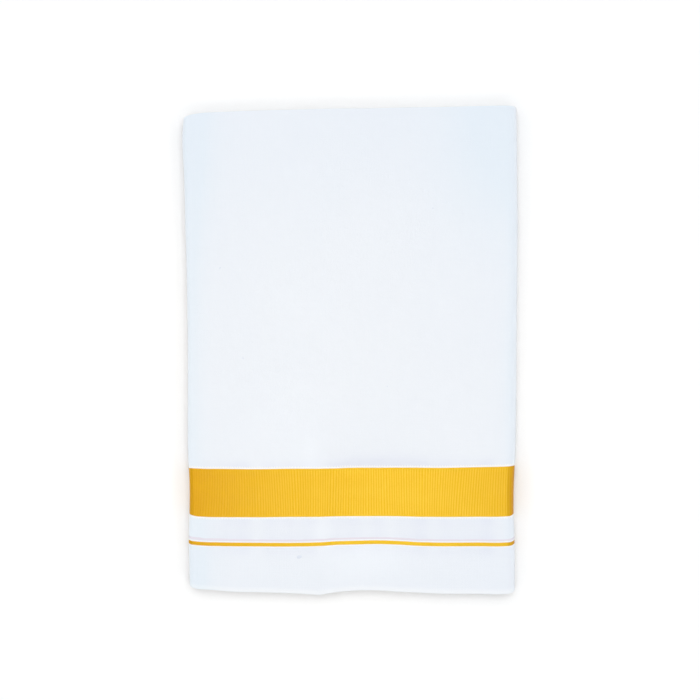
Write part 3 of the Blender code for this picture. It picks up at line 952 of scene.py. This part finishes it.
def cord_shell(path, centre, half_width, relief, outer_side, sizes, teeth=0.0):
    """Points of a low cord woven into the outer ply: a parabola across its width.

    centre gives its y at each station. Where it has teeth, its side towards the plain cloth reaches
    out by their length at each rib, as the square of the rib wave.
    """
    wave, _ = rib_wave(length_at(path), centre[:, None], sizes)
    reach = half_width + teeth * wave ** 2 * (np.sign(CORD_ROWS) == outer_side)
    y = centre[:, None] + CORD_ROWS * reach
    beat = 0.8 + 0.2 * wave
    rise = relief * (1 - CORD_ROWS ** 2) * beat
    return cloth_shell(path, y, rise, -ROOT * sizes.ply)


CORD_STEPS = 4                    # stations of the white cords for each rib
TOOTH = 1.6                       # length of the border cords' teeth, in widths of the cord


def white_cords(sizes, colours):
    """The bright cords: one on each side of the gold border, toothed by its ribs, and of the gold line."""
    path = even_stations(sizes.rib_pitch / CORD_STEPS)
    share = share_across(path)
    line = key_line(LINE, share)
    border_half = sizes.border_cord / 2
    line_half = sizes.line_cord / 2
    teeth = TOOTH * sizes.border_cord
    cords = (
        # name, centre, half width, share of the relief, side that faces plain cloth, length of the teeth
        ("cord_above_border", key_line(BAND_HIGH, share) + border_half, border_half, 1.0, 1, teeth),
        ("cord_below_border", key_line(BAND_LOW, share) - border_half, border_half, 1.0, -1, teeth),
        ("cord_above_line", line + LINE_WIDTH / 2 + line_half, line_half, 0.5, 1, 0.0),
        ("cord_below_line", line - LINE_WIDTH / 2 - line_half, line_half, 0.5, -1, 0.0),
    )
    material = thread_material("bright_cord", colours.cord)
    pieces = []
    for name, centre, half, lift, side, tooth in cords:
        points, uv = cord_shell(path, centre, half, lift * sizes.cord_relief, side, sizes, tooth)
        piece = lattice_piece(name, points, uv, material)
        pieces.append(piece)
    return pieces


PINK_OFFSET = 0.0037              # from the middle of the gold line to the pink thread
PINK_WIDTH = 0.0018
PINK_SPREAD = 0.0005              # near the turned end it lies this much further off, and is wider
PINK_SPREAD_REACH = 0.12          # over about this share of the pack
PINK_HEIGHT = 0.35                # its height, as a share of the white cords'


def pink_thread(sizes, colours):
    """One pale pink thread, woven in between the gold line and the gap."""
    path = even_stations(sizes.rib_pitch / LINE_STEPS)
    share = share_across(path)
    spread = PINK_SPREAD * np.exp(-(share / PINK_SPREAD_REACH) ** 2)
    centre = key_line(LINE, share) + PINK_OFFSET + spread
    half_width = (PINK_WIDTH + spread[:, None]) / 2
    points, uv = cord_shell(path, centre, half_width, PINK_HEIGHT * sizes.cord_relief, 0, sizes)
    piece = lattice_piece("pink_thread", points, uv, thread_material("pink_thread", colours.pink))
    return piece


# Knots and thick places in the yarn that show on the top: place and size in metres, turn in degrees
SLUB_KNOTS = (
    # x, y, half length, half width, height, turn
    (-0.0440, -0.1784, 0.00230, 0.00145, 0.00018, 14.0),
    (-0.0926, -0.0068, 0.00110, 0.00050, 0.00016, -35.0),
    (-0.1125, 0.0709, 0.00090, 0.00055, 0.00016, 60.0),
    (0.0712, 0.1225, 0.00080, 0.00040, 0.00012, 5.0),
    (0.0318, -0.0313, 0.00070, 0.00040, 0.00012, 82.0),
)
KNOT_ROWS = 9                     # rows of points across a knot, both ways


def slub_knots(sizes, colours):
    """Small knots of yarn on the top: square patches bent to an ellipse under a parabolic dome."""
    pieces = []
    side = np.linspace(-1.0, 1.0, KNOT_ROWS)
    a, b = np.meshgrid(side, side, indexing="ij")
    round_a = a * np.sqrt(1 - b ** 2 / 2)
    round_b = b * np.sqrt(1 - a ** 2 / 2)
    dome = np.clip(1 - round_a ** 2 - round_b ** 2, 0.0, 1.0)
    material = thread_material("slub_yarn", colours.slub)
    for number, (at_x, at_y, length, width, rise, turn) in enumerate(SLUB_KNOTS, start=1):
        angle = math.radians(turn)
        lump = 1 + 0.25 * np.sin(3 * a + number) * np.cos(4 * b + number)
        x = at_x + length * round_a * math.cos(angle) - width * round_b * math.sin(angle)
        y = at_y + length * round_a * math.sin(angle) + width * round_b * math.cos(angle)
        ground = top_height(x, y)
        top = np.stack((x, y, ground + rise * dome * lump), axis=-1)
        foot = np.stack((x, y, ground - ROOT * sizes.ply), axis=-1)
        points = np.stack((top, foot), axis=2)
        uv = points[..., :2] + HALF_DEPTH
        piece = lattice_piece(f"slub_knot_{number}", points, uv, material)
        pieces.append(piece)
    return pieces


# ---------------------------------------------------------------- the folds inside

# Levels of a strip's edge, from its ply 1 down: share of the thickness, and how far the point stands
# back from that edge. At the front the selvage of ply 1 lies on the fold of plies 2 and 3. At the back
# the fold of plies 1 and 2 lies on the selvage of ply 3.
FRONT_PROFILE = (
    # share, setback in millimetres, 1 where it belongs to the selvage
    (1.00, 0.12, 1),
    (0.93, 0.00, 1),
    (0.75, 0.00, 1),
    (0.68, 0.12, 1),
    (0.65, 1.40, 1),
    (0.62, 1.40, 0),
    (0.60, 0.50, 0),
    (0.52, 0.13, 0),
    (0.40, 0.01, 0),
    (0.20, 0.01, 0),
    (0.08, 0.13, 0),
    (0.00, 0.50, 0),
)
BACK_PROFILE = (
    # share, setback in millimetres, 1 where it belongs to the selvage
    (1.00, 0.50, 0),
    (0.92, 0.13, 0),
    (0.80, 0.01, 0),
    (0.60, 0.01, 0),
    (0.48, 0.13, 0),
    (0.40, 0.50, 0),
    (0.38, 1.40, 0),
    (0.35, 1.40, 1),
    (0.32, 0.12, 1),
    (0.25, 0.00, 1),
    (0.07, 0.00, 1),
    (0.00, 0.12, 1),
)
RUN_STEPS = 34                    # stations of a strip's run
TURN_STEPS = 10                   # stations of a turn
COVERED_STEPS = 80                # stations of a run right under the outer ply, which follow its creases
LAST_STEP = 1e-6                  # the last station lies this much before the end of the last run
HIDDEN_SETBACK = 0.0048           # under the outer ply, the inner one stands this far back from its edge
ROOF_CLEARANCE = 0.00014          # and lies this much under it
COVER_MARGIN = 0.012              # it counts as covered this far past the outer ply's ends, in path parts
FRONT_PLY_1 = 0.66                # above this share, the front edge belongs to ply 1
BACK_PLY_1 = 0.39                 # and above this one, the back edge belongs to the fold of ply 1
PLY_SEAMS = (0.335, 0.655)        # shares of the thickness at which the plies part at the cut ends
SEAM_SPREAD = 0.03                # over about this share to both sides
CUT_NOTCHES = (0.0006, 0.0005)    # how deep the plies part at the ribbon's first and last cut end
FACE_SHARE = 0.9                  # above this share a point lies on ply 1's face, where gold shows
COLOUR_SEAM = 0.00015             # half the width over which white turns to gold
FRONT_ROWS = (0.006, 0.020)       # rows this far from the front edge
FIELD_ROWS = (0.018, 0.038, 0.060, 0.085, 0.115, 0.15, 0.19, 0.24, 0.30, 0.36,
              0.43, 0.50, 0.57, 0.64, 0.71, 0.78, 0.85, 0.91, 0.96)    # rows in shares of the field


def ribbon_path():
    """Places along the whole ribbon, from one cut end to the other."""
    parts = []
    for part in range(2 * STRIPS - 1):
        steps = TURN_STEPS if part % 2 else COVERED_STEPS if part in (UNDERSIDE, TOP) else RUN_STEPS
        parts.append(part + np.arange(steps) / steps)
    return np.concatenate(parts + [[2 * STRIPS - 1 - LAST_STEP]])


def along_setback(path, column):
    """Setback of one edge of the ribbon along its path: the strips' own, blended at the turns.

    Two sines of the path are added, so that no edge runs straight.
    """
    own = np.array([STRIP_SETBACKS[strip - 1][column] for strip in STRIP_ORDER])
    middle_of_run = 2 * np.arange(STRIPS) + 0.5
    value = np.interp(path, middle_of_run, own)
    ripple = 0.22 * np.sin(3.1 * path + column) + 0.16 * np.sin(7.3 * path + 2 * column)
    return np.maximum(value + ripple, 0.0) * MM


def profile_rows(path, edge, profile, columns, inward):
    """Y of the points of a strip's edge, for each place of the path: the edge moved in by the setbacks."""
    fold = along_setback(path, columns[0])[:, None]
    selvage = along_setback(path, columns[1])[:, None]
    own = np.array([row[1] for row in profile]) * MM
    is_selvage = np.array([row[2] for row in profile])
    return edge[:, None] + inward * (own + np.where(is_selvage, selvage, fold))


def middle_rows(front, line, band_low, band_high, back):
    """Y of the rows between the two edges for each place of the path, and 1 for each row of gold."""
    line_low = line - LINE_WIDTH / 2
    line_high = line + LINE_WIDTH / 2
    rows = (
        # y, 1 where it is gold
        *((front + inset, 0) for inset in FRONT_ROWS),
        (line_low - COLOUR_SEAM, 0),
        (line_low + COLOUR_SEAM, 1),
        (line_high - COLOUR_SEAM, 1),
        (line_high + COLOUR_SEAM, 0),
        ((line + band_low) / 2, 0),
        (band_low - COLOUR_SEAM, 0),
        (band_low + COLOUR_SEAM, 1),
        (0.67 * band_low + 0.33 * band_high, 1),
        (0.33 * band_low + 0.67 * band_high, 1),
        (band_high - COLOUR_SEAM, 1),
        (band_high + COLOUR_SEAM, 0),
        *((band_high + (back - band_high) * part, 0) for part in FIELD_ROWS),
    )
    return np.stack([y for y, _ in rows], axis=-1), [gold for _, gold in rows]


def inner_folds(sizes, colours):
    """All plies inside the outer one, as one ribbon of three plies along the whole folded path.

    Its edges show the plies: a fold and a selvage with a groove between them. Where the outer ply
    covers it, its own ply 1 is left out, so its face lies a ply lower and stands back at the edges.
    From the front edge to the back one, the points' shares of its thickness pass over from the front
    profile's to the back profile's, by an S curve. At its two cut ends the plies part in notches,
    which are bell curves of that share.
    """
    path = ribbon_path()
    share = share_across(path)
    covered = (path >= OUTER_START - COVER_MARGIN) & (path <= OUTER_STOP + COVER_MARGIN)
    lines = [key_line(column, share) for column in (FRONT, LINE, BAND_LOW, BAND_HIGH, BACK)]
    front_share = np.array([row[0] for row in FRONT_PROFILE])
    back_share = np.array([row[0] for row in BACK_PROFILE])
    hidden = covered[:, None] * HIDDEN_SETBACK
    front_y = profile_rows(path, lines[0], FRONT_PROFILE, (0, 1), 1) + hidden * (front_share > FRONT_PLY_1)
    back_y = profile_rows(path, lines[-1], BACK_PROFILE, (2, 3), -1) - hidden * (back_share > BACK_PLY_1)
    middle, gold = middle_rows(*lines)
    middle_y = np.broadcast_to(middle[:, :, None], middle.shape + front_share.shape)
    y = np.concatenate((front_y[:, None], middle_y, back_y[:, None]), axis=1)
    mix = smooth_step(0.0, 1.0, np.linspace(0.0, 1.0, y.shape[1]))[:, None]
    ply_share = np.broadcast_to(front_share * (1 - mix) + back_share * mix, y.shape)
    roof = 1 - covered[:, None, None] * (sizes.ply + ROOF_CLEARANCE) / strip_thickness(0.0, 0.0)
    x, z = fold_point(path[:, None, None], y, np.minimum(ply_share, roof))
    for end, notch in zip((0, -1), CUT_NOTCHES):
        for seam in PLY_SEAMS:
            x[end] += notch * np.exp(-((ply_share[end] - seam) / SEAM_SPREAD) ** 2)
    points = np.stack((x, y, z), axis=-1)
    along = path * HALF_WIDTH
    uv = np.stack(np.broadcast_arrays(along[:, None, None], y + HALF_DEPTH), axis=-1)
    gold = np.array([0, *gold, 0])[None, :, None] * (ply_share > FACE_SHARE)
    piece = lattice_piece("inner_folds", points, uv, inner_material("folded_cotton", sizes, colours),
                          gold=gold)
    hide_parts("folded_layers")
    return piece


# ---------------------------------------------------------------- materials

# Depths of the bump, in metres
WEAVE_DEPTH = 0.00010
YARN_DEPTH = 0.00005
GOLD_DEPTH = 0.00006
GOLD_THREAD = 0.9                 # distance between gold threads, in that of the plain weave's


class Nodes:
    """A material's node tree, with short calls to add and join nodes."""

    def __init__(self, name):
        self.material = bpy.data.materials.get(name) or bpy.data.materials.new(name)
        self.material.use_nodes = True
        self.tree = self.material.node_tree
        self.tree.nodes.clear()
        self.shader = self.add("ShaderNodeBsdfPrincipled")
        self.add("ShaderNodeOutputMaterial", inputs={"Surface": self.shader.outputs["BSDF"]})

    def add(self, kind, settings=None, inputs=None):
        """Add a node with its own settings, and fill its inputs."""
        node = self.tree.nodes.new(kind)
        for key, value in (settings or {}).items():
            setattr(node, key, value)
        self.fill(node, inputs or {})
        return node

    def fill(self, node, inputs):
        """Fill inputs of a node, by name or number. Another node's output is joined, a value is set."""
        for key, value in inputs.items():
            if isinstance(value, bpy.types.NodeSocket):
                self.tree.links.new(value, node.inputs[key])
            else:
                node.inputs[key].default_value = value

    def math(self, operation, a, b=0.0, c=0.0):
        """A Math node's result."""
        return self.add("ShaderNodeMath", {"operation": operation}, {0: a, 1: b, 2: c}).outputs[0]

    def mix(self, factor, a, b, blend="MIX"):
        """A colour between a and b. Where they are blended by MULTIPLY, between a and a times b."""
        settings = {"data_type": "RGBA", "blend_type": blend}
        # several sockets of this node share a name, so they go by number
        return self.add("ShaderNodeMix", settings, {0: factor, 6: a, 7: b}).outputs[2]

    def attribute(self, name):
        """The value of a point attribute."""
        return self.add("ShaderNodeAttribute", {"attribute_name": name}).outputs["Fac"]

    def cloth(self):
        """The cloth's own coordinates, in metres: along the ribbon and from the selvage."""
        return self.add("ShaderNodeUVMap", {"uv_map": "cloth"}).outputs["UV"]

    def split(self, vector):
        """The x and y of a vector."""
        node = self.add("ShaderNodeSeparateXYZ", inputs={"Vector": vector})
        return node.outputs["X"], node.outputs["Y"]

    def noise(self, vector, scale_u, scale_v, detail=2.0, offset=0.0):
        """Noise stretched along the cloth's threads, with a scale for each direction, per metre."""
        mapping = self.add("ShaderNodeMapping", inputs={
            "Vector": vector, "Location": (offset, offset, offset), "Scale": (scale_u, scale_v, 1.0)})
        noise = self.add("ShaderNodeTexNoise", inputs={
            "Vector": mapping.outputs["Vector"], "Scale": 1.0, "Detail": detail})
        return noise.outputs["Fac"]

    def bump(self, depth, *heights):
        """A normal from the sum of heights, each a pair of a socket and its share of the depth."""
        total = 0.0
        for socket, share in heights:
            total = self.math("MULTIPLY_ADD", socket, share, total)
        node = self.add("ShaderNodeBump", inputs={"Height": total, "Strength": 1.0, "Distance": depth})
        self.fill(self.shader, {"Normal": node.outputs["Normal"]})

    def finish(self, colour, roughness, sheen=0.0, metallic=0.0, specular=0.3):
        """Put the colour in and set the shader's constants."""
        self.fill(self.shader, {
            "Base Color": colour, "Roughness": roughness, "Metallic": metallic,
            "Specular IOR Level": specular, "Sheen Weight": sheen, "Sheen Roughness": 0.5})
        return self.material


def opaque(colour, share=1.0):
    """A share of a colour, with an alpha of one."""
    return (*(share * value for value in colour), 1.0)


def weave_bump(nodes, cloth, thread, weft, warp):
    """Bump of a plain weave, the product of a sine along the cloth and one across it, and of its yarn."""
    turns = math.pi / thread
    along, across = (nodes.math("SINE", nodes.math("MULTIPLY", way, turns)) for way in nodes.split(cloth))
    weave = nodes.math("MULTIPLY", along, across)
    nodes.bump(WEAVE_DEPTH, (weave, 0.35), (weft, 0.8), (warp, 0.8))


def cotton_colour(nodes, cloth, light, shade):
    """Bleached cotton: streaks of thicker and thinner yarn both ways, over slow clouds.

    It goes from shade to light by 1.6 times the streaks' mean and 0.8 times the clouds, less 0.7.
    """
    weft = nodes.noise(cloth, scale_u=40.0, scale_v=1100.0, detail=3.0)
    warp = nodes.noise(cloth, scale_u=1100.0, scale_v=34.0, detail=3.0, offset=5.0)
    cloud = nodes.noise(cloth, scale_u=14.0, scale_v=11.0, detail=2.0, offset=9.0)
    streaks = nodes.math("ADD", nodes.math("MULTIPLY", weft, 0.5), nodes.math("MULTIPLY", warp, 0.5))
    blend = nodes.math("MULTIPLY_ADD", streaks, 1.6, nodes.math("MULTIPLY_ADD", cloud, 0.8, -0.7))
    return nodes.mix(blend, shade, light), weft, warp


def cotton_material(name, sizes, colours):
    """Plain-woven cotton with slubs, toned by the marks of its points.

    The selvage mark turns it into the brighter, denser tape. Where painted shade lies, cooler and darker
    at the ends or greyer in the hollow beside the gold, its colour is multiplied by that mark's, and
    where painted light lies, it takes the pale colour.
    """
    nodes = Nodes(name)
    cloth = nodes.cloth()
    light, shade = opaque(colours.cotton), opaque(colours.cotton_shade)
    colour, weft, warp = cotton_colour(nodes, cloth, light, shade)
    colour = nodes.mix(nodes.attribute("selvage"), colour, opaque(colours.tape))
    # painted shade, cooler and darker towards the ends and the corners
    colour = nodes.mix(nodes.attribute("blue"), colour, opaque(colours.cool_shade_tint), "MULTIPLY")
    # painted shade in the hollow beside the gold border
    colour = nodes.mix(nodes.attribute("drawn"), colour, opaque(colours.drawn), "MULTIPLY")
    # painted light on the round of both ends and in pools of light
    colour = nodes.mix(nodes.attribute("pale"), colour, opaque(colours.pale))
    weave_bump(nodes, cloth, sizes.thread, weft, warp)
    return nodes.finish(colour, roughness=0.88, sheen=0.08, specular=0.2)


def thread_material(name, colour):
    """A single yarn: one colour with fine streaks along it."""
    nodes = Nodes(name)
    streak = nodes.noise(nodes.cloth(), scale_u=500.0, scale_v=4000.0, detail=2.0)
    streaked = nodes.mix(streak, opaque(colour, share=0.94), opaque(colour))
    nodes.bump(YARN_DEPTH, (streak, 1.0))
    return nodes.finish(streaked, roughness=0.85, sheen=0.05, specular=0.2)


def gold_material(name, sizes, colours):
    """Gold thread: painted highlight on the ribs' crests, painted shade in the grooves, duller on plain
    edges.
    """
    nodes = Nodes(name)
    cloth = nodes.cloth()
    _, from_selvage = nodes.split(cloth)
    groove = opaque(colours.gold_groove_shade)
    # painted highlight on the crests, painted shade in the grooves
    colour = nodes.mix(nodes.attribute("rib"), groove, opaque(colours.gold_crest_highlight))
    colour = nodes.mix(nodes.attribute("plain"), colour, opaque(colours.gold_edge))
    # painted sheen falloff along X, darker towards the spine
    colour = nodes.mix(nodes.attribute("dull"), colour, opaque(colours.gold_dull))
    floats = nodes.noise(cloth, scale_u=260.0, scale_v=1500.0, detail=3.0)
    cloud = nodes.noise(cloth, scale_u=30.0, scale_v=55.0, detail=2.0, offset=3.0)
    unworn = nodes.math("MULTIPLY_ADD", floats, 0.9, nodes.math("MULTIPLY_ADD", cloud, 0.7, 0.05))
    colour = nodes.mix(unworn, groove, colour)
    turns = 2 * math.pi / (GOLD_THREAD * sizes.thread)
    threads = nodes.math("SINE", nodes.math("MULTIPLY", from_selvage, turns))
    nodes.bump(GOLD_DEPTH, (threads, 0.35), (floats, 1.0))
    return nodes.finish(colour, roughness=0.42, metallic=0.15, specular=0.14)


def inner_material(name, sizes, colours):
    """The same cotton inside the pack, with gold where the borders pass through."""
    nodes = Nodes(name)
    cloth = nodes.cloth()
    light, shade = opaque(colours.inner_cotton), opaque(colours.inner_cotton, share=0.95)
    colour, weft, warp = cotton_colour(nodes, cloth, light, shade)
    # the inner gold is half the gold edge's colour and half the painted darker gold
    half_dull = [(edge + dull) / 2 for edge, dull in zip(colours.gold_edge, colours.gold_dull)]
    colour = nodes.mix(nodes.attribute("gold"), colour, opaque(half_dull))
    weave_bump(nodes, cloth, sizes.thread, weft, warp)
    return nodes.finish(colour, roughness=0.9, sheen=0.05, specular=0.2)


# ---------------------------------------------------------------- stage

CAMERA_HEIGHT = 1.120
CAMERA_LENS = 65.6                # on a sensor of the width below, both in millimetres
CAMERA_SENSOR = 36.0
CAMERA_NEAR = 0.01
VIEW_CENTRE = (-0.00028, 0.00010)
FLOOR_RADIUS = 4.0
FLOOR_SIDES = 96
FLOOR_DROP = 0.0002               # the floor lies this much under the cloth
FLOOR_GLOW = 0.035                # strength of the floor's own white glow
WHITE = (1.0, 1.0, 1.0)
CONTACT_REACH = 0.022             # the floor's colour is painted darker, a painted contact shadow, within this of the cloth
CONTACT_SAMPLES = 12              # rays that look for the cloth, at each place of the floor
PAINTED_CONTACT_SHADOW = (
    # share of the sky that is open, share by which the floor's colour is painted darker there as painted
    # shadow
    (0.00, 0.140),
    (0.50, 0.140),
    (0.58, 0.205),
    (0.64, 0.210),
    (1.00, 0.000),
)

# The sky's brightness by the sine of the height above the horizon
SKY = (
    # sine, brightness
    (0.00, 1.05),
    (0.22, 0.74),
    (0.60, 0.16),
    (1.00, 0.13),
)
SKY_COLOUR = (0.96, 0.98, 1.0)

# A wide, distant key light, as soft as a big ceiling of cloth: it lights the whole floor alike
KEY_DIRECTION = (0.0, -0.10, -1.0)
KEY_ANGLE = 48.0
KEY_STRENGTH = 2.55
KEY_COLOUR = (0.96, 0.985, 1.0)

# A small warm lamp over the middle
SPOT_PLACE = (-0.10, 0.05, 1.50)
SPOT_TARGET = (-0.02, -0.035, 0.02)
SPOT_CONE = 24.0
SPOT_RADIUS = 0.12
SPOT_WATTS = 7.0
SPOT_COLOUR = (1.0, 0.61, 0.10)


def fill_ramp(node, stops):
    """Give a colour ramp its stops: places, of which the first is 0 and the last is 1, and colours."""
    elements = node.color_ramp.elements
    for place, _ in stops[1:-1]:
        elements.new(place)
    for element, (_, colour) in zip(elements, stops):
        element.color = colour


def build_floor(colours):
    """A round pale floor that glows a little, so that only what lies near the cloth falls below white.

    Near the cloth its colour is painted darker, a painted contact shadow, by how little sky is open there.
    """
    mesh = bpy.data.meshes.new("floor")
    turn = np.arange(FLOOR_SIDES) * 2 * math.pi / FLOOR_SIDES
    rim = np.stack((FLOOR_RADIUS * np.cos(turn), FLOOR_RADIUS * np.sin(turn),
                    np.full(turn.shape, -FLOOR_DROP)), axis=-1)
    mesh.from_pydata(rim.tolist(), [], [list(range(FLOOR_SIDES))])
    nodes = Nodes("pale_floor")
    sky = nodes.add("ShaderNodeAmbientOcclusion", {"samples": CONTACT_SAMPLES}, {"Distance": CONTACT_REACH})
    ramp = nodes.add("ShaderNodeValToRGB", inputs={"Fac": sky.outputs["AO"]})
    # painted shadow: the floor's colour is darker where less of the sky is open
    fill_ramp(ramp, [(open_sky, opaque(colours.floor, share=1 - dulling)) for open_sky, dulling in PAINTED_CONTACT_SHADOW])
    nodes.fill(nodes.shader, {"Emission Color": opaque(WHITE), "Emission Strength": FLOOR_GLOW})
    mesh.materials.append(nodes.finish(ramp.outputs["Color"], roughness=0.95, specular=0.0))
    link(bpy.data.objects.new("floor", mesh))


def build_sky():
    """A sky that is white at the horizon and dimmer overhead."""
    world = bpy.data.worlds.new("soft_sky")
    world.use_nodes = True
    tree = world.node_tree
    place = tree.nodes.new("ShaderNodeTexCoord")
    split = tree.nodes.new("ShaderNodeSeparateXYZ")
    ramp = tree.nodes.new("ShaderNodeValToRGB")
    tree.links.new(place.outputs["Generated"], split.inputs["Vector"])
    tree.links.new(split.outputs["Z"], ramp.inputs["Fac"])
    tree.links.new(ramp.outputs["Color"], tree.nodes["Background"].inputs["Color"])
    fill_ramp(ramp, [(sine, opaque(SKY_COLOUR, share=brightness)) for sine, brightness in SKY])
    bpy.context.scene.world = world


def hang_lamp(name, kind, energy, colour, place, direction):
    """A lamp of a kind at a place, pointed in a direction."""
    lamp = bpy.data.lights.new(name, kind)
    lamp.energy = energy
    lamp.color = colour
    item = link(bpy.data.objects.new(name, lamp))
    item.location = place
    item.rotation_euler = direction.to_track_quat("-Z", "Y").to_euler()
    return lamp


def build_lights():
    """A wide soft key light from above the back edge, and a small warm lamp over the middle."""
    key = hang_lamp("soft_key", "SUN", KEY_STRENGTH, KEY_COLOUR, (0.0, 0.0, 0.0), Vector(KEY_DIRECTION))
    key.angle = math.radians(KEY_ANGLE)
    aim = Vector(SPOT_TARGET) - Vector(SPOT_PLACE)
    spot = hang_lamp("warm_spot", "SPOT", SPOT_WATTS, SPOT_COLOUR, SPOT_PLACE, aim)
    spot.shadow_soft_size = SPOT_RADIUS
    spot.spot_size = math.radians(SPOT_CONE)
    spot.spot_blend = 1.0


def build_camera():
    """A camera straight above the pack."""
    camera = bpy.data.cameras.new("camera")
    camera.lens = CAMERA_LENS
    camera.sensor_width = CAMERA_SENSOR
    camera.clip_start = CAMERA_NEAR
    item = link(bpy.data.objects.new("camera", camera))
    item.location = (*VIEW_CENTRE, CAMERA_HEIGHT)
    bpy.context.scene.camera = item


def build_stage(colours):
    """The floor, the sky, the lights and the camera, shown without any film look."""
    build_floor(colours)
    build_sky()
    build_lights()
    build_camera()
    bpy.context.scene.view_settings.view_transform = "Standard"


# ---------------------------------------------------------------- operators and panel

def sizes_and_colours(context):
    """The sizes and the colours that hang on the scene."""
    return context.scene.dhoti_sizes, context.scene.dhoti_colours


class DHOTI_OT_inner_folds(bpy.types.Operator):
    """Build the folded ribbon of hidden plies"""

    bl_idname = "dhoti.inner_folds"
    bl_label = "Inner Folds"

    def execute(self, context):
        piece = inner_folds(*sizes_and_colours(context))
        return {"FINISHED"}


class DHOTI_OT_field_weave(bpy.types.Operator):
    """Build the wide white field and the knots in its yarn"""

    bl_idname = "dhoti.field_weave"
    bl_label = "Field"

    def execute(self, context):
        piece = field_weave(*sizes_and_colours(context))
        knots = slub_knots(*sizes_and_colours(context))
        return {"FINISHED"}


class DHOTI_OT_gold_border(bpy.types.Operator):
    """Build the ribbed gold border"""

    bl_idname = "dhoti.gold_border"
    bl_label = "Gold Border"

    def execute(self, context):
        piece = gold_border(*sizes_and_colours(context))
        return {"FINISHED"}


class DHOTI_OT_gap_weave(bpy.types.Operator):
    """Build the gap, the thin gold line, the pink thread and the four cords"""

    bl_idname = "dhoti.gap_weave"
    bl_label = "Gap and Gold Line"

    def execute(self, context):
        piece = gap_weave(*sizes_and_colours(context))
        stripe = gold_stripe(*sizes_and_colours(context))
        thread = pink_thread(*sizes_and_colours(context))
        cords = white_cords(*sizes_and_colours(context))
        return {"FINISHED"}


class DHOTI_OT_margin_weave(bpy.types.Operator):
    """Build the margin and its selvage"""

    bl_idname = "dhoti.margin_weave"
    bl_label = "Margin"

    def execute(self, context):
        piece = margin_weave(*sizes_and_colours(context))
        return {"FINISHED"}


class DHOTI_OT_stage(bpy.types.Operator):
    """Build the floor, the lights and the camera"""

    bl_idname = "dhoti.stage"
    bl_label = "Stage"

    def execute(self, context):
        _, colours = sizes_and_colours(context)
        build_stage(colours)
        return {"FINISHED"}


class DHOTI_PT_panel(bpy.types.Panel):
    """Lists the pieces of the folded dhoti"""

    bl_idname = "DHOTI_PT_panel"
    bl_label = "Folded Dhoti"
    bl_space_type = "VIEW_3D"
    bl_region_type = "UI"
    bl_category = "Dhoti"

    def draw(self, context):
        layout = self.layout
        for group in sizes_and_colours(context):
            column = layout.column(align=True)
            for name in group.__annotations__:
                column.prop(group, name)
        for operator in OPERATORS:
            layout.operator(operator.bl_idname)


OPERATORS = (
    DHOTI_OT_inner_folds,
    DHOTI_OT_field_weave,
    DHOTI_OT_gold_border,
    DHOTI_OT_gap_weave,
    DHOTI_OT_margin_weave,
    DHOTI_OT_stage,
)
CLASSES = (DhotiSizes, DhotiColours, *OPERATORS, DHOTI_PT_panel)


def register():
    """Register the classes and hang the settings on the scene."""
    for item in CLASSES:
        bpy.utils.register_class(item)
    bpy.types.Scene.dhoti_sizes = PointerProperty(type=DhotiSizes)
    bpy.types.Scene.dhoti_colours = PointerProperty(type=DhotiColours)


def unregister():
    """Take the settings and the classes away again."""
    del bpy.types.Scene.dhoti_colours
    del bpy.types.Scene.dhoti_sizes
    for item in reversed(CLASSES):
        bpy.utils.unregister_class(item)


def main():
    """Build every piece and the stage."""
    register()
    bpy.ops.dhoti.inner_folds()
    bpy.ops.dhoti.field_weave()
    bpy.ops.dhoti.gold_border()
    bpy.ops.dhoti.gap_weave()
    bpy.ops.dhoti.margin_weave()
    bpy.ops.dhoti.stage()


if __name__ == "__main__":
    main()
